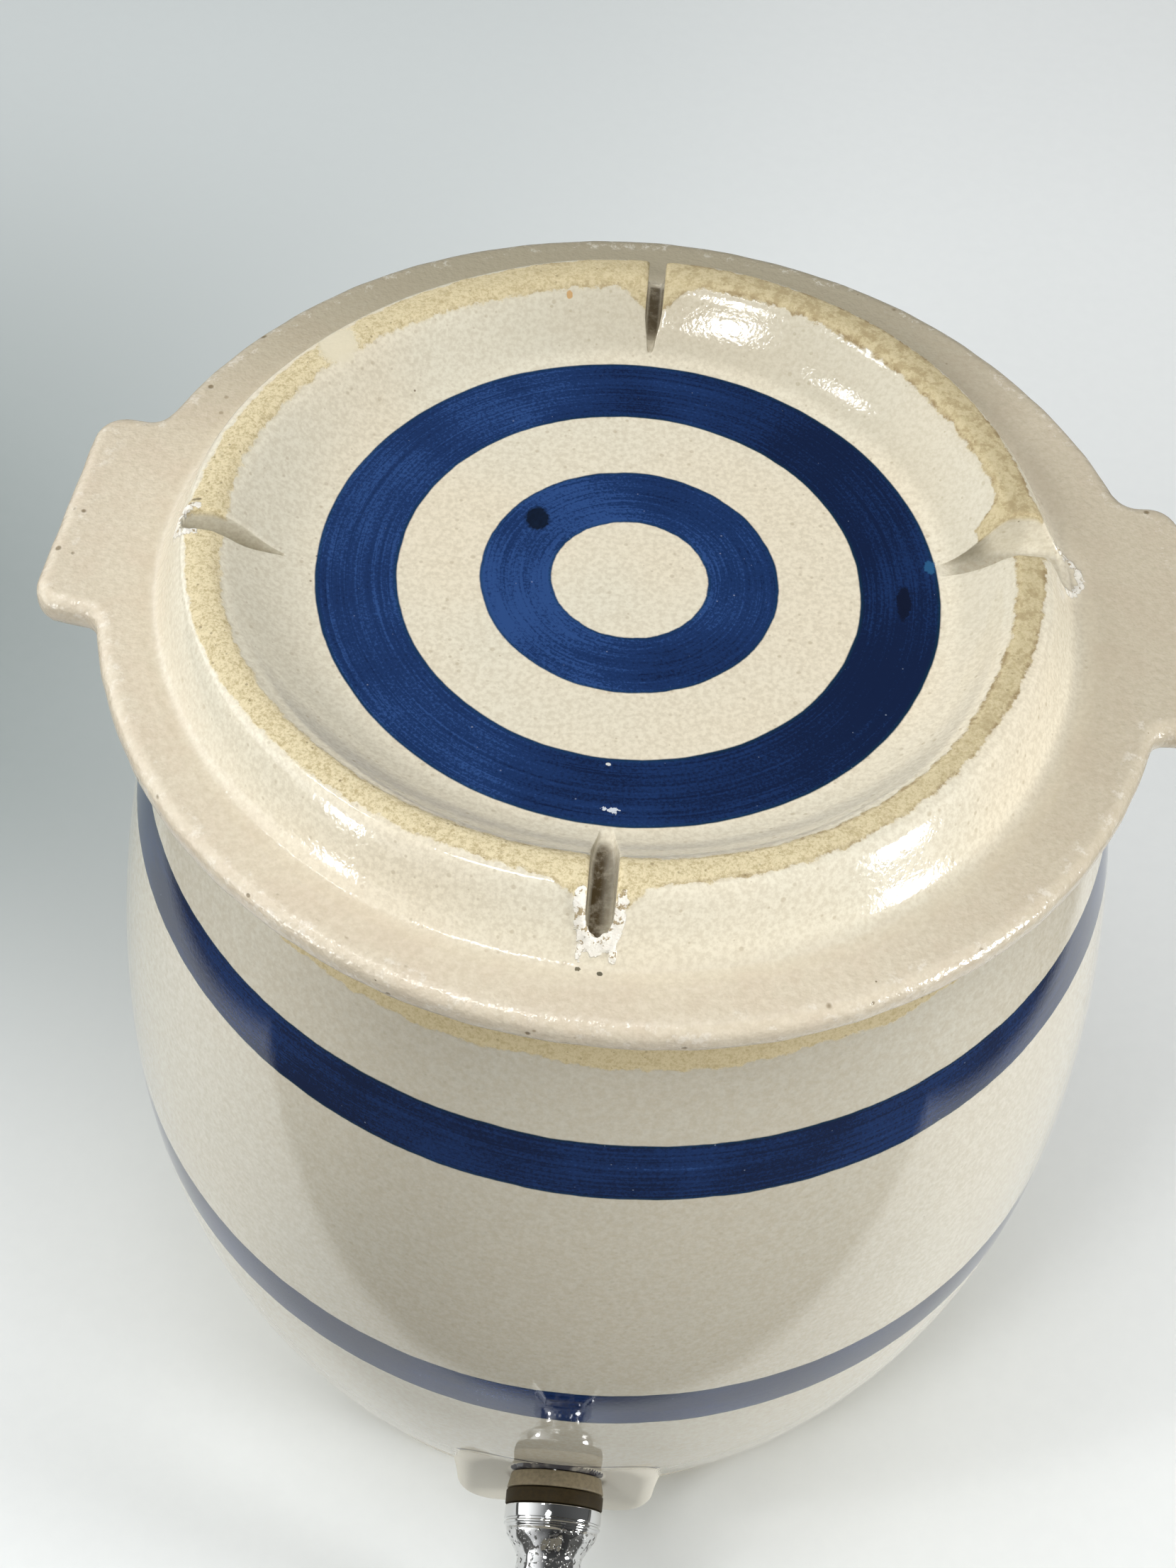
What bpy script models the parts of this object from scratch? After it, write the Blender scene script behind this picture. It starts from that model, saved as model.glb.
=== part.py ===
# Stoneware water cooler: a barrel-shaped crock with a loose lid and a self-closing lever tap.
# Units are metres and +Z is up. The origin is the centre of the crock's base, and the tap faces -Y.

import math

import bmesh
import bpy
from mathutils import Matrix, Vector

# Crock
crock_height = 0.2762
belly_radius = 0.1339
belly_height = 0.1346
rim_radius = 0.1102
base_radius = 0.1003
crock_wall = 0.0090
floor_thickness = 0.0120
foot_rounding = 0.0110
rim_rounding = 0.0035
floor_rounding = 0.0100

# Lid
lid_radius = 0.1270
lid_thickness = 0.0090
lid_edge_rounding = 0.0036
lid_shift_x = -0.0044
lid_seat_gap = 0.0003
ring_foot_radius = 0.1105
ring_crest_outer = 0.0996
ring_crest_inner = 0.0931
ring_inner_foot = 0.0762
ring_height = 0.0165
dish_step = 0.0038
skirt_radius = 0.0955
skirt_wall = 0.0080
skirt_depth = 0.0120
skirt_rounding = 0.0030
ear_reach = 0.1392
ear_root = 0.1000
ear_corner = 0.0085
ear_inset = 0.0004
ear_edge_rounding = 0.0025
left_ear_width = 0.0650
right_ear_width = 0.0700
left_ear_angle = math.radians(177.7)
right_ear_angle = math.radians(3.3)
notch_widths = {"front": 0.0062, "back": 0.0042, "left": 0.0058, "right": 0.0092}
notch_angles = {
    "front": math.radians(270.0),
    "back": math.radians(90.0),
    "left": math.radians(177.6),
    "right": math.radians(9.0),
}
notch_floor_rise = 0.0003

# Tap seat on the crock
tap_height = 0.0504
seat_proud = 0.00095
tap_lean = math.radians(16.0)
seat_thickness = 0.0094
seat_spot_radius = 0.0155
inner_spot_radius = 0.0168
shank_radius = 0.0080
running_gap = 0.0003
merge_distance = 0.000003
boss_width = 0.0560
boss_height = 0.0400
boss_depth = 0.0070
boss_corner = 0.0120
boss_fillet = 0.0060
boss_top = 0.0130
boss_lean = math.radians(6.0)

# Washers and nut, along the shank
outer_seal_thickness = 0.0045
outer_seal_back_radius = 0.0126
outer_washer_thickness = 0.0040
outer_washer_radius = 0.0136
inner_seal_thickness = 0.0025
inner_seal_radius = 0.0145
inner_washer_thickness = 0.0015
inner_washer_radius = 0.0140
lock_nut_thickness = 0.0070
lock_nut_radius = 0.0150
lock_nut_chamfer = 0.0010
shank_overhang = 0.0035

# Tap body
collar_radius = 0.0135
collar_length = 0.0037
groove_length = 0.0006
groove_depth = 0.0006
bead_length = 0.0009
flare_radius = 0.0128
flare_length = 0.0085
neck_radius = 0.0090
barrel_reach = 0.0425
barrel_radius = 0.0120
barrel_top = 0.0125
barrel_bottom = 0.0135
barrel_lip = 0.0006
barrel_lip_length = 0.0020
spout_shoulder = 0.0190
spout_root_radius = 0.0078
spout_tip_radius = 0.0066
spout_length = 0.0310
water_bore_radius = 0.0052
outlet_radius = 0.0045
chamber_radius = 0.0085
valve_seat_depth = 0.0095
cut_overrun = 0.0020

# Bonnet and its gasket
gasket_thickness = 0.0010
gasket_overlap = 0.0006
bonnet_radius = 0.0142
bonnet_thickness = 0.0062
bonnet_chamfer = 0.0008
bonnet_skirt_length = 0.0065
stem_radius = 0.0025
pocket_radius = 0.0046
pocket_depth = 0.0045
o_ring_thickness = 0.0020
spring_washer_thickness = 0.0010

# Valve stem, cup and spring
cup_radius = 0.0066
cup_height = 0.0046
cup_rounding = 0.0008
cup_floor = 0.0012
cup_lip = 0.0014
bulb_radius = 0.0036
spring_mean_radius = 0.0037
spring_wire_radius = 0.00040
spring_turns = 4
stem_head_height = 0.0100
stem_head_width = 0.0080
stem_head_depth = 0.0040
lower_washer_radius = 0.0052
spring_end_turns = 1
spring_points_per_turn = 10

# Lever and its pin
pivot_offset = 0.0085
pivot_height = 0.0290
pin_radius = 0.0015
pin_head_radius = 0.0027
pin_head_length = 0.0012
pin_overhang = 0.0024
clip_radius = 0.0034
clip_thickness = 0.0008
lug_gap_half = 0.0034
lug_thickness = 0.0030
lug_radius = 0.0038
lever_eye_radius = 0.0040
tongue_half_width = 0.0018
tongue_half_height = 0.0009
tongue_tip_radius = 0.0016
lever_neck_length = 0.0085
lever_neck_half_height = 0.0024
lever_length = 0.0420
lever_root_width = 0.0100
lever_tip_width = 0.0150
lever_root_thickness = 0.0056
lever_tip_thickness = 0.0042
lever_rise = math.radians(24.0)
lever_edge_rounding = 0.0012
lever_clearance = 0.0012

# Counts
crock_steps = 64
tap_steps = 32
small_steps = 20
wall_rows = 8
arc_rows = 3
slope_rows = 5
grip_rows = 10
grip_round_share = 0.80
grip_close_share = 0.92

# Places that follow from the sizes above
lid_underside = crock_height + lid_seat_gap
collar_start = outer_seal_thickness + outer_washer_thickness + 3 * running_gap
inner_seal_start = seat_thickness + running_gap
inner_washer_start = inner_seal_start + inner_seal_thickness + running_gap
lock_nut_start = inner_washer_start + inner_washer_thickness + running_gap
shank_end = lock_nut_start + lock_nut_thickness + shank_overhang
gasket_level = barrel_top + running_gap
bonnet_level = gasket_level + gasket_thickness + running_gap
bonnet_top = bonnet_level + bonnet_thickness
skirt_level = bonnet_level - bonnet_skirt_length
pocket_level = skirt_level + pocket_depth
cup_bottom = running_gap - valve_seat_depth
cup_top = cup_bottom + cup_height
lower_washer_level = cup_top + running_gap
upper_washer_level = skirt_level + running_gap
o_ring_level = upper_washer_level + spring_washer_thickness + running_gap
spring_bottom = lower_washer_level + spring_washer_thickness + running_gap
spring_top = skirt_level
shank_hole_radius = shank_radius + running_gap
stem_bore_radius = stem_radius + running_gap
head_bottom = pivot_height - stem_head_height / 2
head_top = pivot_height + stem_head_height / 2


def clear_scene():
    for item in list(bpy.data.objects):
        bpy.data.objects.remove(item, do_unlink=True)


def make_material(name, colour, roughness, metallic=0.0):
    material = bpy.data.materials.new(name)
    material.use_nodes = True
    shader = material.node_tree.nodes["Principled BSDF"]
    shader.inputs["Base Color"].default_value = (*colour, 1.0)
    shader.inputs["Roughness"].default_value = roughness
    shader.inputs["Metallic"].default_value = metallic
    return material


def add_object(name, bm, material=None, parent=None, location=(0, 0, 0), rotation=(0, 0, 0)):
    mesh = bpy.data.meshes.new(name)
    bmesh.ops.recalc_face_normals(bm, faces=bm.faces)
    bm.to_mesh(mesh)
    bm.free()
    mesh.shade_smooth()
    mesh.set_sharp_from_angle(angle=math.radians(30))
    item = bpy.data.objects.new(name, mesh)
    bpy.context.scene.collection.objects.link(item)
    item.parent = parent
    item.location = location
    item.rotation_euler = rotation
    if material:
        mesh.materials.append(material)
    return item


def add_helper(name, bm, parent=None, location=(0, 0, 0), rotation=(0, 0, 0)):
    item = add_object(name, bm, None, parent, location, rotation)
    item.hide_render = True
    item.display_type = "WIRE"
    return item


def combine(item, other, operation):
    modifier = item.modifiers.new(operation.lower(), "BOOLEAN")
    modifier.object = other
    modifier.operation = operation
    modifier.solver = "EXACT"


# An outline of (radius, height) points is spun once round Z. Points on the axis close into poles.
def turned(outline, steps, closed=False):
    bm = bmesh.new()
    points = [bm.verts.new((radius, 0, height)) for radius, height in outline]
    pairs = list(zip(points, points[1:]))
    if closed:
        pairs.append((points[-1], points[0]))
    edges = [bm.edges.new(pair) for pair in pairs]
    bmesh.ops.spin(bm, geom=points + edges, axis=(0, 0, 1), cent=(0, 0, 0),
                   angle=2 * math.pi, steps=steps, use_merge=True)
    bmesh.ops.remove_doubles(bm, verts=bm.verts, dist=merge_distance)
    return bm


# The same, with the outline's heights measured outward along the tap's shank.
def turned_outward(outline, steps, closed=False):
    bm = turned(outline, steps, closed)
    bmesh.ops.rotate(bm, verts=bm.verts, cent=(0, 0, 0), matrix=Matrix.Rotation(math.pi / 2, 3, "X"))
    return bm


def tube(outer, inner, low, high):
    return [(inner, low), (outer, low), (outer, high), (inner, high)]


def rod(radius, low, high):
    return [(0, low), (radius, low), (radius, high), (0, high)]


def box(low, high):
    bm = bmesh.new()
    bmesh.ops.create_cube(bm, size=1)
    low, high = Vector(low), Vector(high)
    for vert in bm.verts:
        vert.co = Vector(low[i] + (vert.co[i] + 0.5) * (high[i] - low[i]) for i in range(3))
    return bm


# A rod along X from low to high, whose axis passes through the point (0, y, z).
def cross_rod(radius, low, high, y=0, z=0):
    bm = turned(rod(radius, low, high), small_steps)
    bmesh.ops.rotate(bm, verts=bm.verts, cent=(0, 0, 0), matrix=Matrix.Rotation(math.pi / 2, 3, "Y"))
    bmesh.ops.translate(bm, verts=bm.verts, vec=(0, y, z))
    return bm


# A quarter turn from one angle to another about a centre, both ends included.
def arc(centre, radius, start, end, rows=arc_rows):
    angles = [math.radians(start + (end - start) * i / rows) for i in range(rows + 1)]
    return [(centre[0] + radius * math.cos(a), centre[1] + radius * math.sin(a)) for a in angles]


# Stacked copies of one flat outline, joined side to side and capped at both ends.
def stacked(loops):
    bm = bmesh.new()
    rings = [[bm.verts.new(point) for point in loop] for loop in loops]
    count = len(rings[0])
    for lower, upper in zip(rings, rings[1:]):
        for i in range(count):
            j = (i + 1) % count
            bm.faces.new((lower[i], lower[j], upper[j], upper[i]))
    bm.faces.new(rings[0])
    bm.faces.new(rings[-1])
    return bm


def rounded_rectangle(half_width, half_height, corner):
    points = []
    corners = [(1, 1, 0), (-1, 1, 90), (-1, -1, 180), (1, -1, 270)]
    for side, end, start in corners:
        centre = (side * (half_width - corner), end * (half_height - corner))
        points += arc(centre, corner, start, start + 90)
    return points


# The barrel's outer radius at a height: two parabolas that meet at the belly.
def outer_radius(height):
    if height > belly_height:
        reach = (height - belly_height) / (crock_height - belly_height)
        return belly_radius - (belly_radius - rim_radius) * reach ** 2
    reach = (belly_height - height) / belly_height
    return belly_radius - (belly_radius - base_radius) * reach ** 2


def wall_points(low, high, inset, rows):
    heights = [low + (high - low) * i / rows for i in range(rows + 1)]
    return [(outer_radius(height) - inset, height) for height in heights]


def make_crock(stoneware, tap_frame, boss_frame):
    foot = arc((outer_radius(foot_rounding) - foot_rounding, foot_rounding), foot_rounding, -90, 0)
    rim_centre_height = crock_height - rim_rounding
    outer = wall_points(foot_rounding, rim_centre_height, 0, wall_rows)[1:-1]
    rim_out = arc((outer_radius(rim_centre_height) - rim_rounding, rim_centre_height), rim_rounding, 0, 90)
    mouth = outer_radius(rim_centre_height) - crock_wall
    rim_in = arc((mouth + rim_rounding, rim_centre_height), rim_rounding, 90, 180)
    floor_start = floor_thickness + floor_rounding
    inner = wall_points(rim_centre_height, floor_start, crock_wall, wall_rows)[1:-1]
    floor_centre = (outer_radius(floor_start) - crock_wall - floor_rounding, floor_start)
    floor_arc = arc(floor_centre, floor_rounding, 0, -90)
    outline = [(0, 0)] + foot + outer + rim_out + rim_in + inner + floor_arc + [(0, floor_thickness)]
    crock = add_object("crock", turned(outline, crock_steps), stoneware)

    boss = add_helper("boss_shape", stacked(boss_sections()), boss_frame)
    combine(crock, boss, "UNION")
    outer_spot = turned_outward(rod(seat_spot_radius, 0, boss_height), tap_steps)
    combine(crock, add_helper("outer_spot_cut", outer_spot, tap_frame), "DIFFERENCE")
    inner_spot = turned_outward(rod(inner_spot_radius, -boss_height, -seat_thickness), tap_steps)
    combine(crock, add_helper("inner_spot_cut", inner_spot, tap_frame), "DIFFERENCE")
    hole = turned_outward(rod(shank_hole_radius, -seat_thickness - cut_overrun, cut_overrun), tap_steps)
    combine(crock, add_helper("tap_hole_cut", hole, tap_frame), "DIFFERENCE")


# The pad that the tap seats on: a rounded rectangle whose front edge is a quarter-round fillet.
def boss_sections():
    rows = [(boss_depth, 0)]
    rows += [(boss_fillet + z, boss_fillet - x) for x, z in arc((0, 0), boss_fillet, 0, -90)]
    sections = []
    for depth, inset in rows:
        half_width = boss_width / 2 - inset
        half_height = boss_height / 2 - inset
        outline = rounded_rectangle(half_width, half_height, boss_corner - inset)
        sections.append([(x, depth, z - boss_height / 2) for x, z in outline])
    return sections


# The lid is turned about its own axis with its underside's height at zero, then gets ears and notches.
def make_lid(stoneware):
    crest_outer = (ring_crest_outer, lid_thickness + ring_height)
    crest_inner = (ring_crest_inner, lid_thickness + ring_height)
    edge = arc((lid_radius - lid_edge_rounding, lid_edge_rounding), lid_edge_rounding, -90, 0)
    top_centre = (lid_radius - lid_edge_rounding, lid_thickness - lid_edge_rounding)
    edge += arc(top_centre, lid_edge_rounding, 0, 90)
    skirt_inner = skirt_radius - skirt_wall
    skirt_tip = arc((skirt_radius - skirt_rounding, skirt_rounding - skirt_depth), skirt_rounding, 0, -90)
    skirt_tip += arc((skirt_inner + skirt_rounding, skirt_rounding - skirt_depth), skirt_rounding, -90, -180)
    outline = [(0, 0), (skirt_inner, 0)] + skirt_tip[::-1] + [(skirt_radius, 0)] + edge
    outline += slope((ring_foot_radius, lid_thickness), crest_outer)
    outline += slope(crest_inner, (ring_inner_foot, lid_thickness + dish_step))
    outline += [(0, lid_thickness + dish_step)]
    place = (lid_shift_x, 0, lid_underside)
    lid = add_object("lid", turned(outline, crock_steps), stoneware, None, place)
    for name, angle, width in (("left_ear", left_ear_angle, left_ear_width),
                               ("right_ear", right_ear_angle, right_ear_width)):
        ear = add_helper(name + "_shape", stacked(ear_sections(width)), None, place, (0, 0, angle))
        combine(lid, ear, "UNION")
    for name, width in notch_widths.items():
        low = (ring_inner_foot - cut_overrun, -width / 2, lid_thickness + dish_step + notch_floor_rise)
        high = (ring_foot_radius + cut_overrun, width / 2, lid_thickness + ring_height + cut_overrun)
        turn = (0, 0, notch_angles[name])
        combine(lid, add_helper(name + "_notch_cut", box(low, high), None, place, turn), "DIFFERENCE")


# An S-shaped rise from one point to another, level at both ends.
def slope(start, end):
    points = []
    for i in range(slope_rows + 1):
        share = i / slope_rows
        rise = (1 - math.cos(math.pi * share)) / 2
        points.append((start[0] + (end[0] - start[0]) * share, start[1] + (end[1] - start[1]) * rise))
    return points


# An ear is a rounded slab along +X from under the ring out to its reach.
def ear_sections(width):
    half_length = (ear_reach - ear_root) / 2
    middle = (ear_reach + ear_root) / 2
    low = ear_inset
    high = lid_thickness - ear_inset
    rows = [(low + ear_edge_rounding + z, ear_edge_rounding - x)
            for x, z in arc((0, 0), ear_edge_rounding, -90, 0)]
    rows += [(high - ear_edge_rounding + z, ear_edge_rounding - x)
             for x, z in arc((0, 0), ear_edge_rounding, 0, 90)]
    sections = []
    for height, inset in rows:
        outline = rounded_rectangle(half_length - inset, width / 2 - inset, ear_corner - inset)
        sections.append([(middle + x, y, height) for x, y in outline])
    return sections


def make_washers(materials, tap_frame):
    hole = shank_hole_radius
    start = running_gap
    end = start + outer_seal_thickness
    outline = [(hole, start), (outer_seal_back_radius, start), (outer_washer_radius, end), (hole, end)]
    seal = turned_outward(outline, tap_steps, closed=True)
    add_object("outer_seal", seal, materials["olive_rubber"], tap_frame)
    start = end + running_gap
    rings = [
        ("outer_washer", "brown_fibre", outer_washer_radius, start, outer_washer_thickness),
        ("inner_seal", "black_rubber", inner_seal_radius, -inner_seal_start, -inner_seal_thickness),
        ("inner_washer", "steel", inner_washer_radius, -inner_washer_start, -inner_washer_thickness),
    ]
    for name, material, radius, start, thickness in rings:
        low, high = sorted((start, start + thickness))
        ring = turned_outward(tube(radius, hole, low, high), tap_steps, closed=True)
        add_object(name, ring, materials[material], tap_frame)


def make_lock_nut(brass, tap_frame):
    low = -lock_nut_start - lock_nut_thickness
    high = -lock_nut_start
    narrow = lock_nut_radius - lock_nut_chamfer
    outline = [(0, low), (narrow, low), (lock_nut_radius, low + lock_nut_chamfer),
               (lock_nut_radius, high - lock_nut_chamfer), (narrow, high), (0, high)]
    nut = add_object("lock_nut", turned_outward(outline, 6), brass, tap_frame)
    bore = turned_outward(rod(shank_hole_radius, low - cut_overrun, high + cut_overrun), tap_steps)
    combine(nut, add_helper("lock_nut_bore", bore, tap_frame), "DIFFERENCE")


# Collar, beads, flare and neck, as radius against distance outward from the seat.
def shank_outline():
    start = collar_start
    band_end = start + collar_length
    bead_start = band_end + groove_length
    bead_end = bead_start + bead_length
    flare_start = bead_end + groove_length
    groove_radius = collar_radius - groove_depth
    points = [(0, -shank_end), (shank_radius, -shank_end), (shank_radius, start), (collar_radius, start)]
    points += [(collar_radius, band_end), (groove_radius, band_end), (groove_radius, bead_start)]
    points += [(collar_radius, bead_start), (collar_radius, bead_end), (groove_radius, bead_end)]
    rows = 2 * arc_rows
    for i in range(rows + 1):
        share = i / rows
        flare = (flare_radius - neck_radius) * (1 - share) ** 2
        points.append((neck_radius + flare, flare_start + flare_length * share))
    return points + [(neck_radius, barrel_reach), (0, barrel_reach)]


# Valve barrel and spout, as radius against height from the shank's axis.
def barrel_outline():
    lip = barrel_radius + barrel_lip
    lip_start = barrel_top - barrel_lip_length
    shoulder = slope((spout_root_radius, -spout_shoulder), (barrel_radius, -barrel_bottom))
    points = [(0, -spout_length), (spout_tip_radius, -spout_length)] + shoulder
    return points + [(barrel_radius, lip_start), (lip, lip_start), (lip, barrel_top), (0, barrel_top)]


def make_tap_body(chrome, tap_frame):
    body = add_object("tap_body", turned_outward(shank_outline(), tap_steps), chrome, tap_frame)
    place = (0, -barrel_reach, 0)
    barrel = add_helper("barrel_shape", turned(barrel_outline(), tap_steps), tap_frame, place)
    combine(body, barrel, "UNION")
    chamber = turned(rod(chamber_radius, -valve_seat_depth, barrel_top + cut_overrun), tap_steps)
    combine(body, add_helper("chamber_cut", chamber, tap_frame, place), "DIFFERENCE")
    outlet = turned(rod(outlet_radius, -spout_length - cut_overrun, 0), small_steps)
    combine(body, add_helper("outlet_cut", outlet, tap_frame, place), "DIFFERENCE")
    bore = turned_outward(rod(water_bore_radius, -shank_end - cut_overrun, barrel_reach), small_steps)
    combine(body, add_helper("water_bore_cut", bore, tap_frame), "DIFFERENCE")


def make_bonnet(materials, valve_frame):
    narrow = bonnet_radius - bonnet_chamfer
    hexagon = [(0, bonnet_level), (narrow, bonnet_level), (bonnet_radius, bonnet_level + bonnet_chamfer),
               (bonnet_radius, bonnet_top - bonnet_chamfer), (narrow, bonnet_top), (0, bonnet_top)]
    bonnet = add_object("bonnet", turned(hexagon, 6), materials["chrome"], valve_frame)
    skirt = turned(rod(chamber_radius - running_gap, skirt_level, bonnet_level + bonnet_chamfer), tap_steps)
    combine(bonnet, add_helper("bonnet_skirt_shape", skirt, valve_frame), "UNION")
    for side in (-1, 1):
        near = side * lug_gap_half
        far = side * (lug_gap_half + lug_thickness)
        lug = lug_shape(min(near, far), max(near, far))
        combine(bonnet, add_helper("lug_shape", lug, valve_frame), "UNION")
    bore = turned(rod(stem_bore_radius, skirt_level, bonnet_top + cut_overrun), small_steps)
    combine(bonnet, add_helper("stem_bore_cut", bore, valve_frame), "DIFFERENCE")
    pocket = turned(rod(pocket_radius, skirt_level - cut_overrun, pocket_level), small_steps)
    combine(bonnet, add_helper("pocket_cut", pocket, valve_frame), "DIFFERENCE")
    hole_half = lug_gap_half + lug_thickness + cut_overrun
    hole = cross_rod(pin_radius + running_gap, -hole_half, hole_half, -pivot_offset, pivot_height)
    combine(bonnet, add_helper("pin_hole_cut", hole, valve_frame), "DIFFERENCE")


# A lug is a flat cheek between two X positions: straight sides rising to a round end at the pin.
def lug_shape(low_x, high_x):
    outline = [(-lug_radius, bonnet_top - bonnet_chamfer), (lug_radius, bonnet_top - bonnet_chamfer)]
    outline += arc((0, pivot_height), lug_radius, 0, 180, 2 * arc_rows)
    return stacked([[(x, y - pivot_offset, z) for y, z in outline] for x in (low_x, high_x)])


def make_valve_seals(materials, valve_frame):
    washer_outer = pocket_radius - running_gap
    rings = [
        ("bonnet_gasket", "brown_fibre", barrel_radius - gasket_overlap, chamber_radius + running_gap,
         gasket_level, gasket_thickness),
        ("stem_o_ring", "black_rubber", washer_outer, stem_bore_radius, o_ring_level, o_ring_thickness),
        ("upper_spring_washer", "steel", washer_outer, stem_bore_radius, upper_washer_level,
         spring_washer_thickness),
        ("lower_spring_washer", "steel", lower_washer_radius, stem_bore_radius, lower_washer_level,
         spring_washer_thickness),
    ]
    for name, material, outer, inner, low, thickness in rings:
        ring = turned(tube(outer, inner, low, low + thickness), small_steps, closed=True)
        add_object(name, ring, materials[material], valve_frame)


# The cup is a soft plug whose hollow grips the bulb at the stem's foot.
def make_seat_cup(rubber, valve_frame):
    cavity = bulb_radius + running_gap
    cavity_floor = cup_bottom + cup_floor
    cavity_top = cup_top - cup_lip
    rounded = cup_radius - cup_rounding
    outline = [(0, cup_bottom), (rounded, cup_bottom), (cup_radius, cup_bottom + cup_rounding),
               (cup_radius, cup_top - cup_rounding), (rounded, cup_top),
               (stem_bore_radius, cup_top), (stem_bore_radius, cavity_top), (cavity, cavity_top),
               (cavity, cavity_floor), (0, cavity_floor)]
    add_object("seat_cup", turned(outline, small_steps), rubber, valve_frame)


def make_stem(steel, valve_frame):
    bulb_low = cup_bottom + cup_floor + running_gap
    bulb_high = cup_top - cup_lip - running_gap
    outline = [(0, bulb_low), (bulb_radius, bulb_low), (bulb_radius, bulb_high), (stem_radius, bulb_high),
               (stem_radius, head_bottom + bonnet_chamfer), (0, head_bottom + bonnet_chamfer)]
    stem = add_object("valve_stem", turned(outline, small_steps), steel, valve_frame)
    half_width = stem_head_width / 2
    half_depth = stem_head_depth / 2
    head = box((-half_width, -half_depth, head_bottom), (half_width, half_depth, head_top))
    combine(stem, add_helper("stem_head_shape", head, valve_frame), "UNION")
    half_width = tongue_half_width + running_gap
    half_height = tongue_tip_radius + running_gap
    window = box((-half_width, -stem_head_depth, pivot_height - half_height),
                 (half_width, stem_head_depth, pivot_height + half_height))
    combine(stem, add_helper("stem_window_cut", window, valve_frame), "DIFFERENCE")


# The spring is one unbroken wire: an even helix whose first and last turns lie flat.
def make_spring(steel, valve_frame):
    low = spring_bottom + spring_wire_radius
    high = spring_top - spring_wire_radius
    turns = spring_turns + 2 * spring_end_turns
    count = turns * spring_points_per_turn + 1
    curve = bpy.data.curves.new("stem_spring", "CURVE")
    curve.dimensions = "3D"
    curve.bevel_depth = spring_wire_radius
    curve.bevel_resolution = 1
    curve.use_fill_caps = True
    line = curve.splines.new("POLY")
    line.points.add(count - 1)
    pitch = 2 * spring_wire_radius + running_gap
    for i, point in enumerate(line.points):
        turn = i / spring_points_per_turn
        climb = min(max(turn - spring_end_turns, 0), spring_turns) / spring_turns
        rise = climb * (high - low - 2 * spring_end_turns * pitch)
        rise += pitch * (min(turn, spring_end_turns) + max(turn - spring_end_turns - spring_turns, 0))
        angle = 2 * math.pi * turn
        x = spring_mean_radius * math.cos(angle)
        y = spring_mean_radius * math.sin(angle)
        point.co = (x, y, low + rise, 1)
    curve.materials.append(steel)
    spring = bpy.data.objects.new("stem_spring", curve)
    bpy.context.scene.collection.objects.link(spring)
    spring.parent = valve_frame


# The lever's origin is the pin's axis. Its tongue points back to the stem and its grip forward.
def make_lever(plastic, valve_frame):
    place = (0, -pivot_offset, pivot_height)
    eye_half = lug_gap_half - running_gap
    eye = cross_rod(lever_eye_radius, -eye_half, eye_half)
    lever = add_object("lever", eye, plastic, valve_frame, place)
    neck_half = eye_half - running_gap
    neck = box((-neck_half, -lever_neck_length, -lever_neck_half_height),
               (neck_half, 0, lever_neck_half_height))
    grip = stacked(grip_sections())
    tilt = (-lever_rise, 0, 0)
    shapes = [("lever_tongue_shape", tongue_shape(), (0, 0, 0)), ("lever_neck_shape", neck, tilt),
              ("lever_grip_shape", grip, tilt)]
    for name, bm, turn in shapes:
        combine(lever, add_helper(name, bm, valve_frame, place, turn), "UNION")
    bore = cross_rod(pin_radius + running_gap, -lug_gap_half, lug_gap_half)
    combine(lever, add_helper("lever_bore_cut", bore, valve_frame, place), "DIFFERENCE")


# The tongue is a thin blade whose far end swells to a round tip on the stem's axis.
def tongue_shape():
    opening = 180 - math.degrees(math.asin(tongue_half_height / tongue_tip_radius))
    outline = [(0, tongue_half_height), (0, -tongue_half_height)]
    outline += arc((pivot_offset, 0), tongue_tip_radius, -opening, opening, 3 * arc_rows)
    return stacked([[(x, y, z) for y, z in outline] for x in (-tongue_half_width, tongue_half_width)])


# Grip sections from the neck to the round tip: each a rounded rectangle across the lever.
def grip_sections():
    start = lug_radius + lever_clearance
    sections = []
    for i in range(grip_rows + 1):
        share = i / grip_rows
        reach = start + (lever_length - start) * share
        close_share = min(max((share - grip_round_share) / (1 - grip_round_share), 0), 1)
        closing = math.sqrt(1 - (close_share * grip_close_share) ** 2)
        half_width = (lever_root_width + (lever_tip_width - lever_root_width) * share) / 2 * closing
        thickness = lever_root_thickness + (lever_tip_thickness - lever_root_thickness) * share
        half_height = thickness / 2 * closing
        corner = lever_edge_rounding * closing
        outline = rounded_rectangle(half_width, half_height, corner)
        sections.append([(x, -reach, z) for x, z in outline])
    return sections


def make_pin(steel, valve_frame):
    outer_face = lug_gap_half + lug_thickness
    head_face = outer_face + running_gap
    clip_face = outer_face + running_gap
    pin_end = clip_face + clip_thickness + pin_overhang
    pin = add_object("lever_pin", cross_rod(pin_radius, -head_face, pin_end, -pivot_offset, pivot_height),
                     steel, valve_frame)
    head = cross_rod(pin_head_radius, -head_face - pin_head_length, -head_face, -pivot_offset, pivot_height)
    combine(pin, add_helper("pin_head_shape", head, valve_frame), "UNION")
    clip = cross_rod(clip_radius, clip_face, clip_face + clip_thickness, -pivot_offset, pivot_height)
    clip = add_object("pin_clip", clip, steel, valve_frame)
    bore = cross_rod(pin_radius + running_gap, outer_face, pin_end, -pivot_offset, pivot_height)
    combine(clip, add_helper("clip_bore_cut", bore, valve_frame), "DIFFERENCE")


def add_frame(name, parent, location, rotation=(0, 0, 0)):
    frame = bpy.data.objects.new(name, None)
    bpy.context.scene.collection.objects.link(frame)
    frame.parent = parent
    frame.location = location
    frame.rotation_euler = rotation
    return frame


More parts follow.
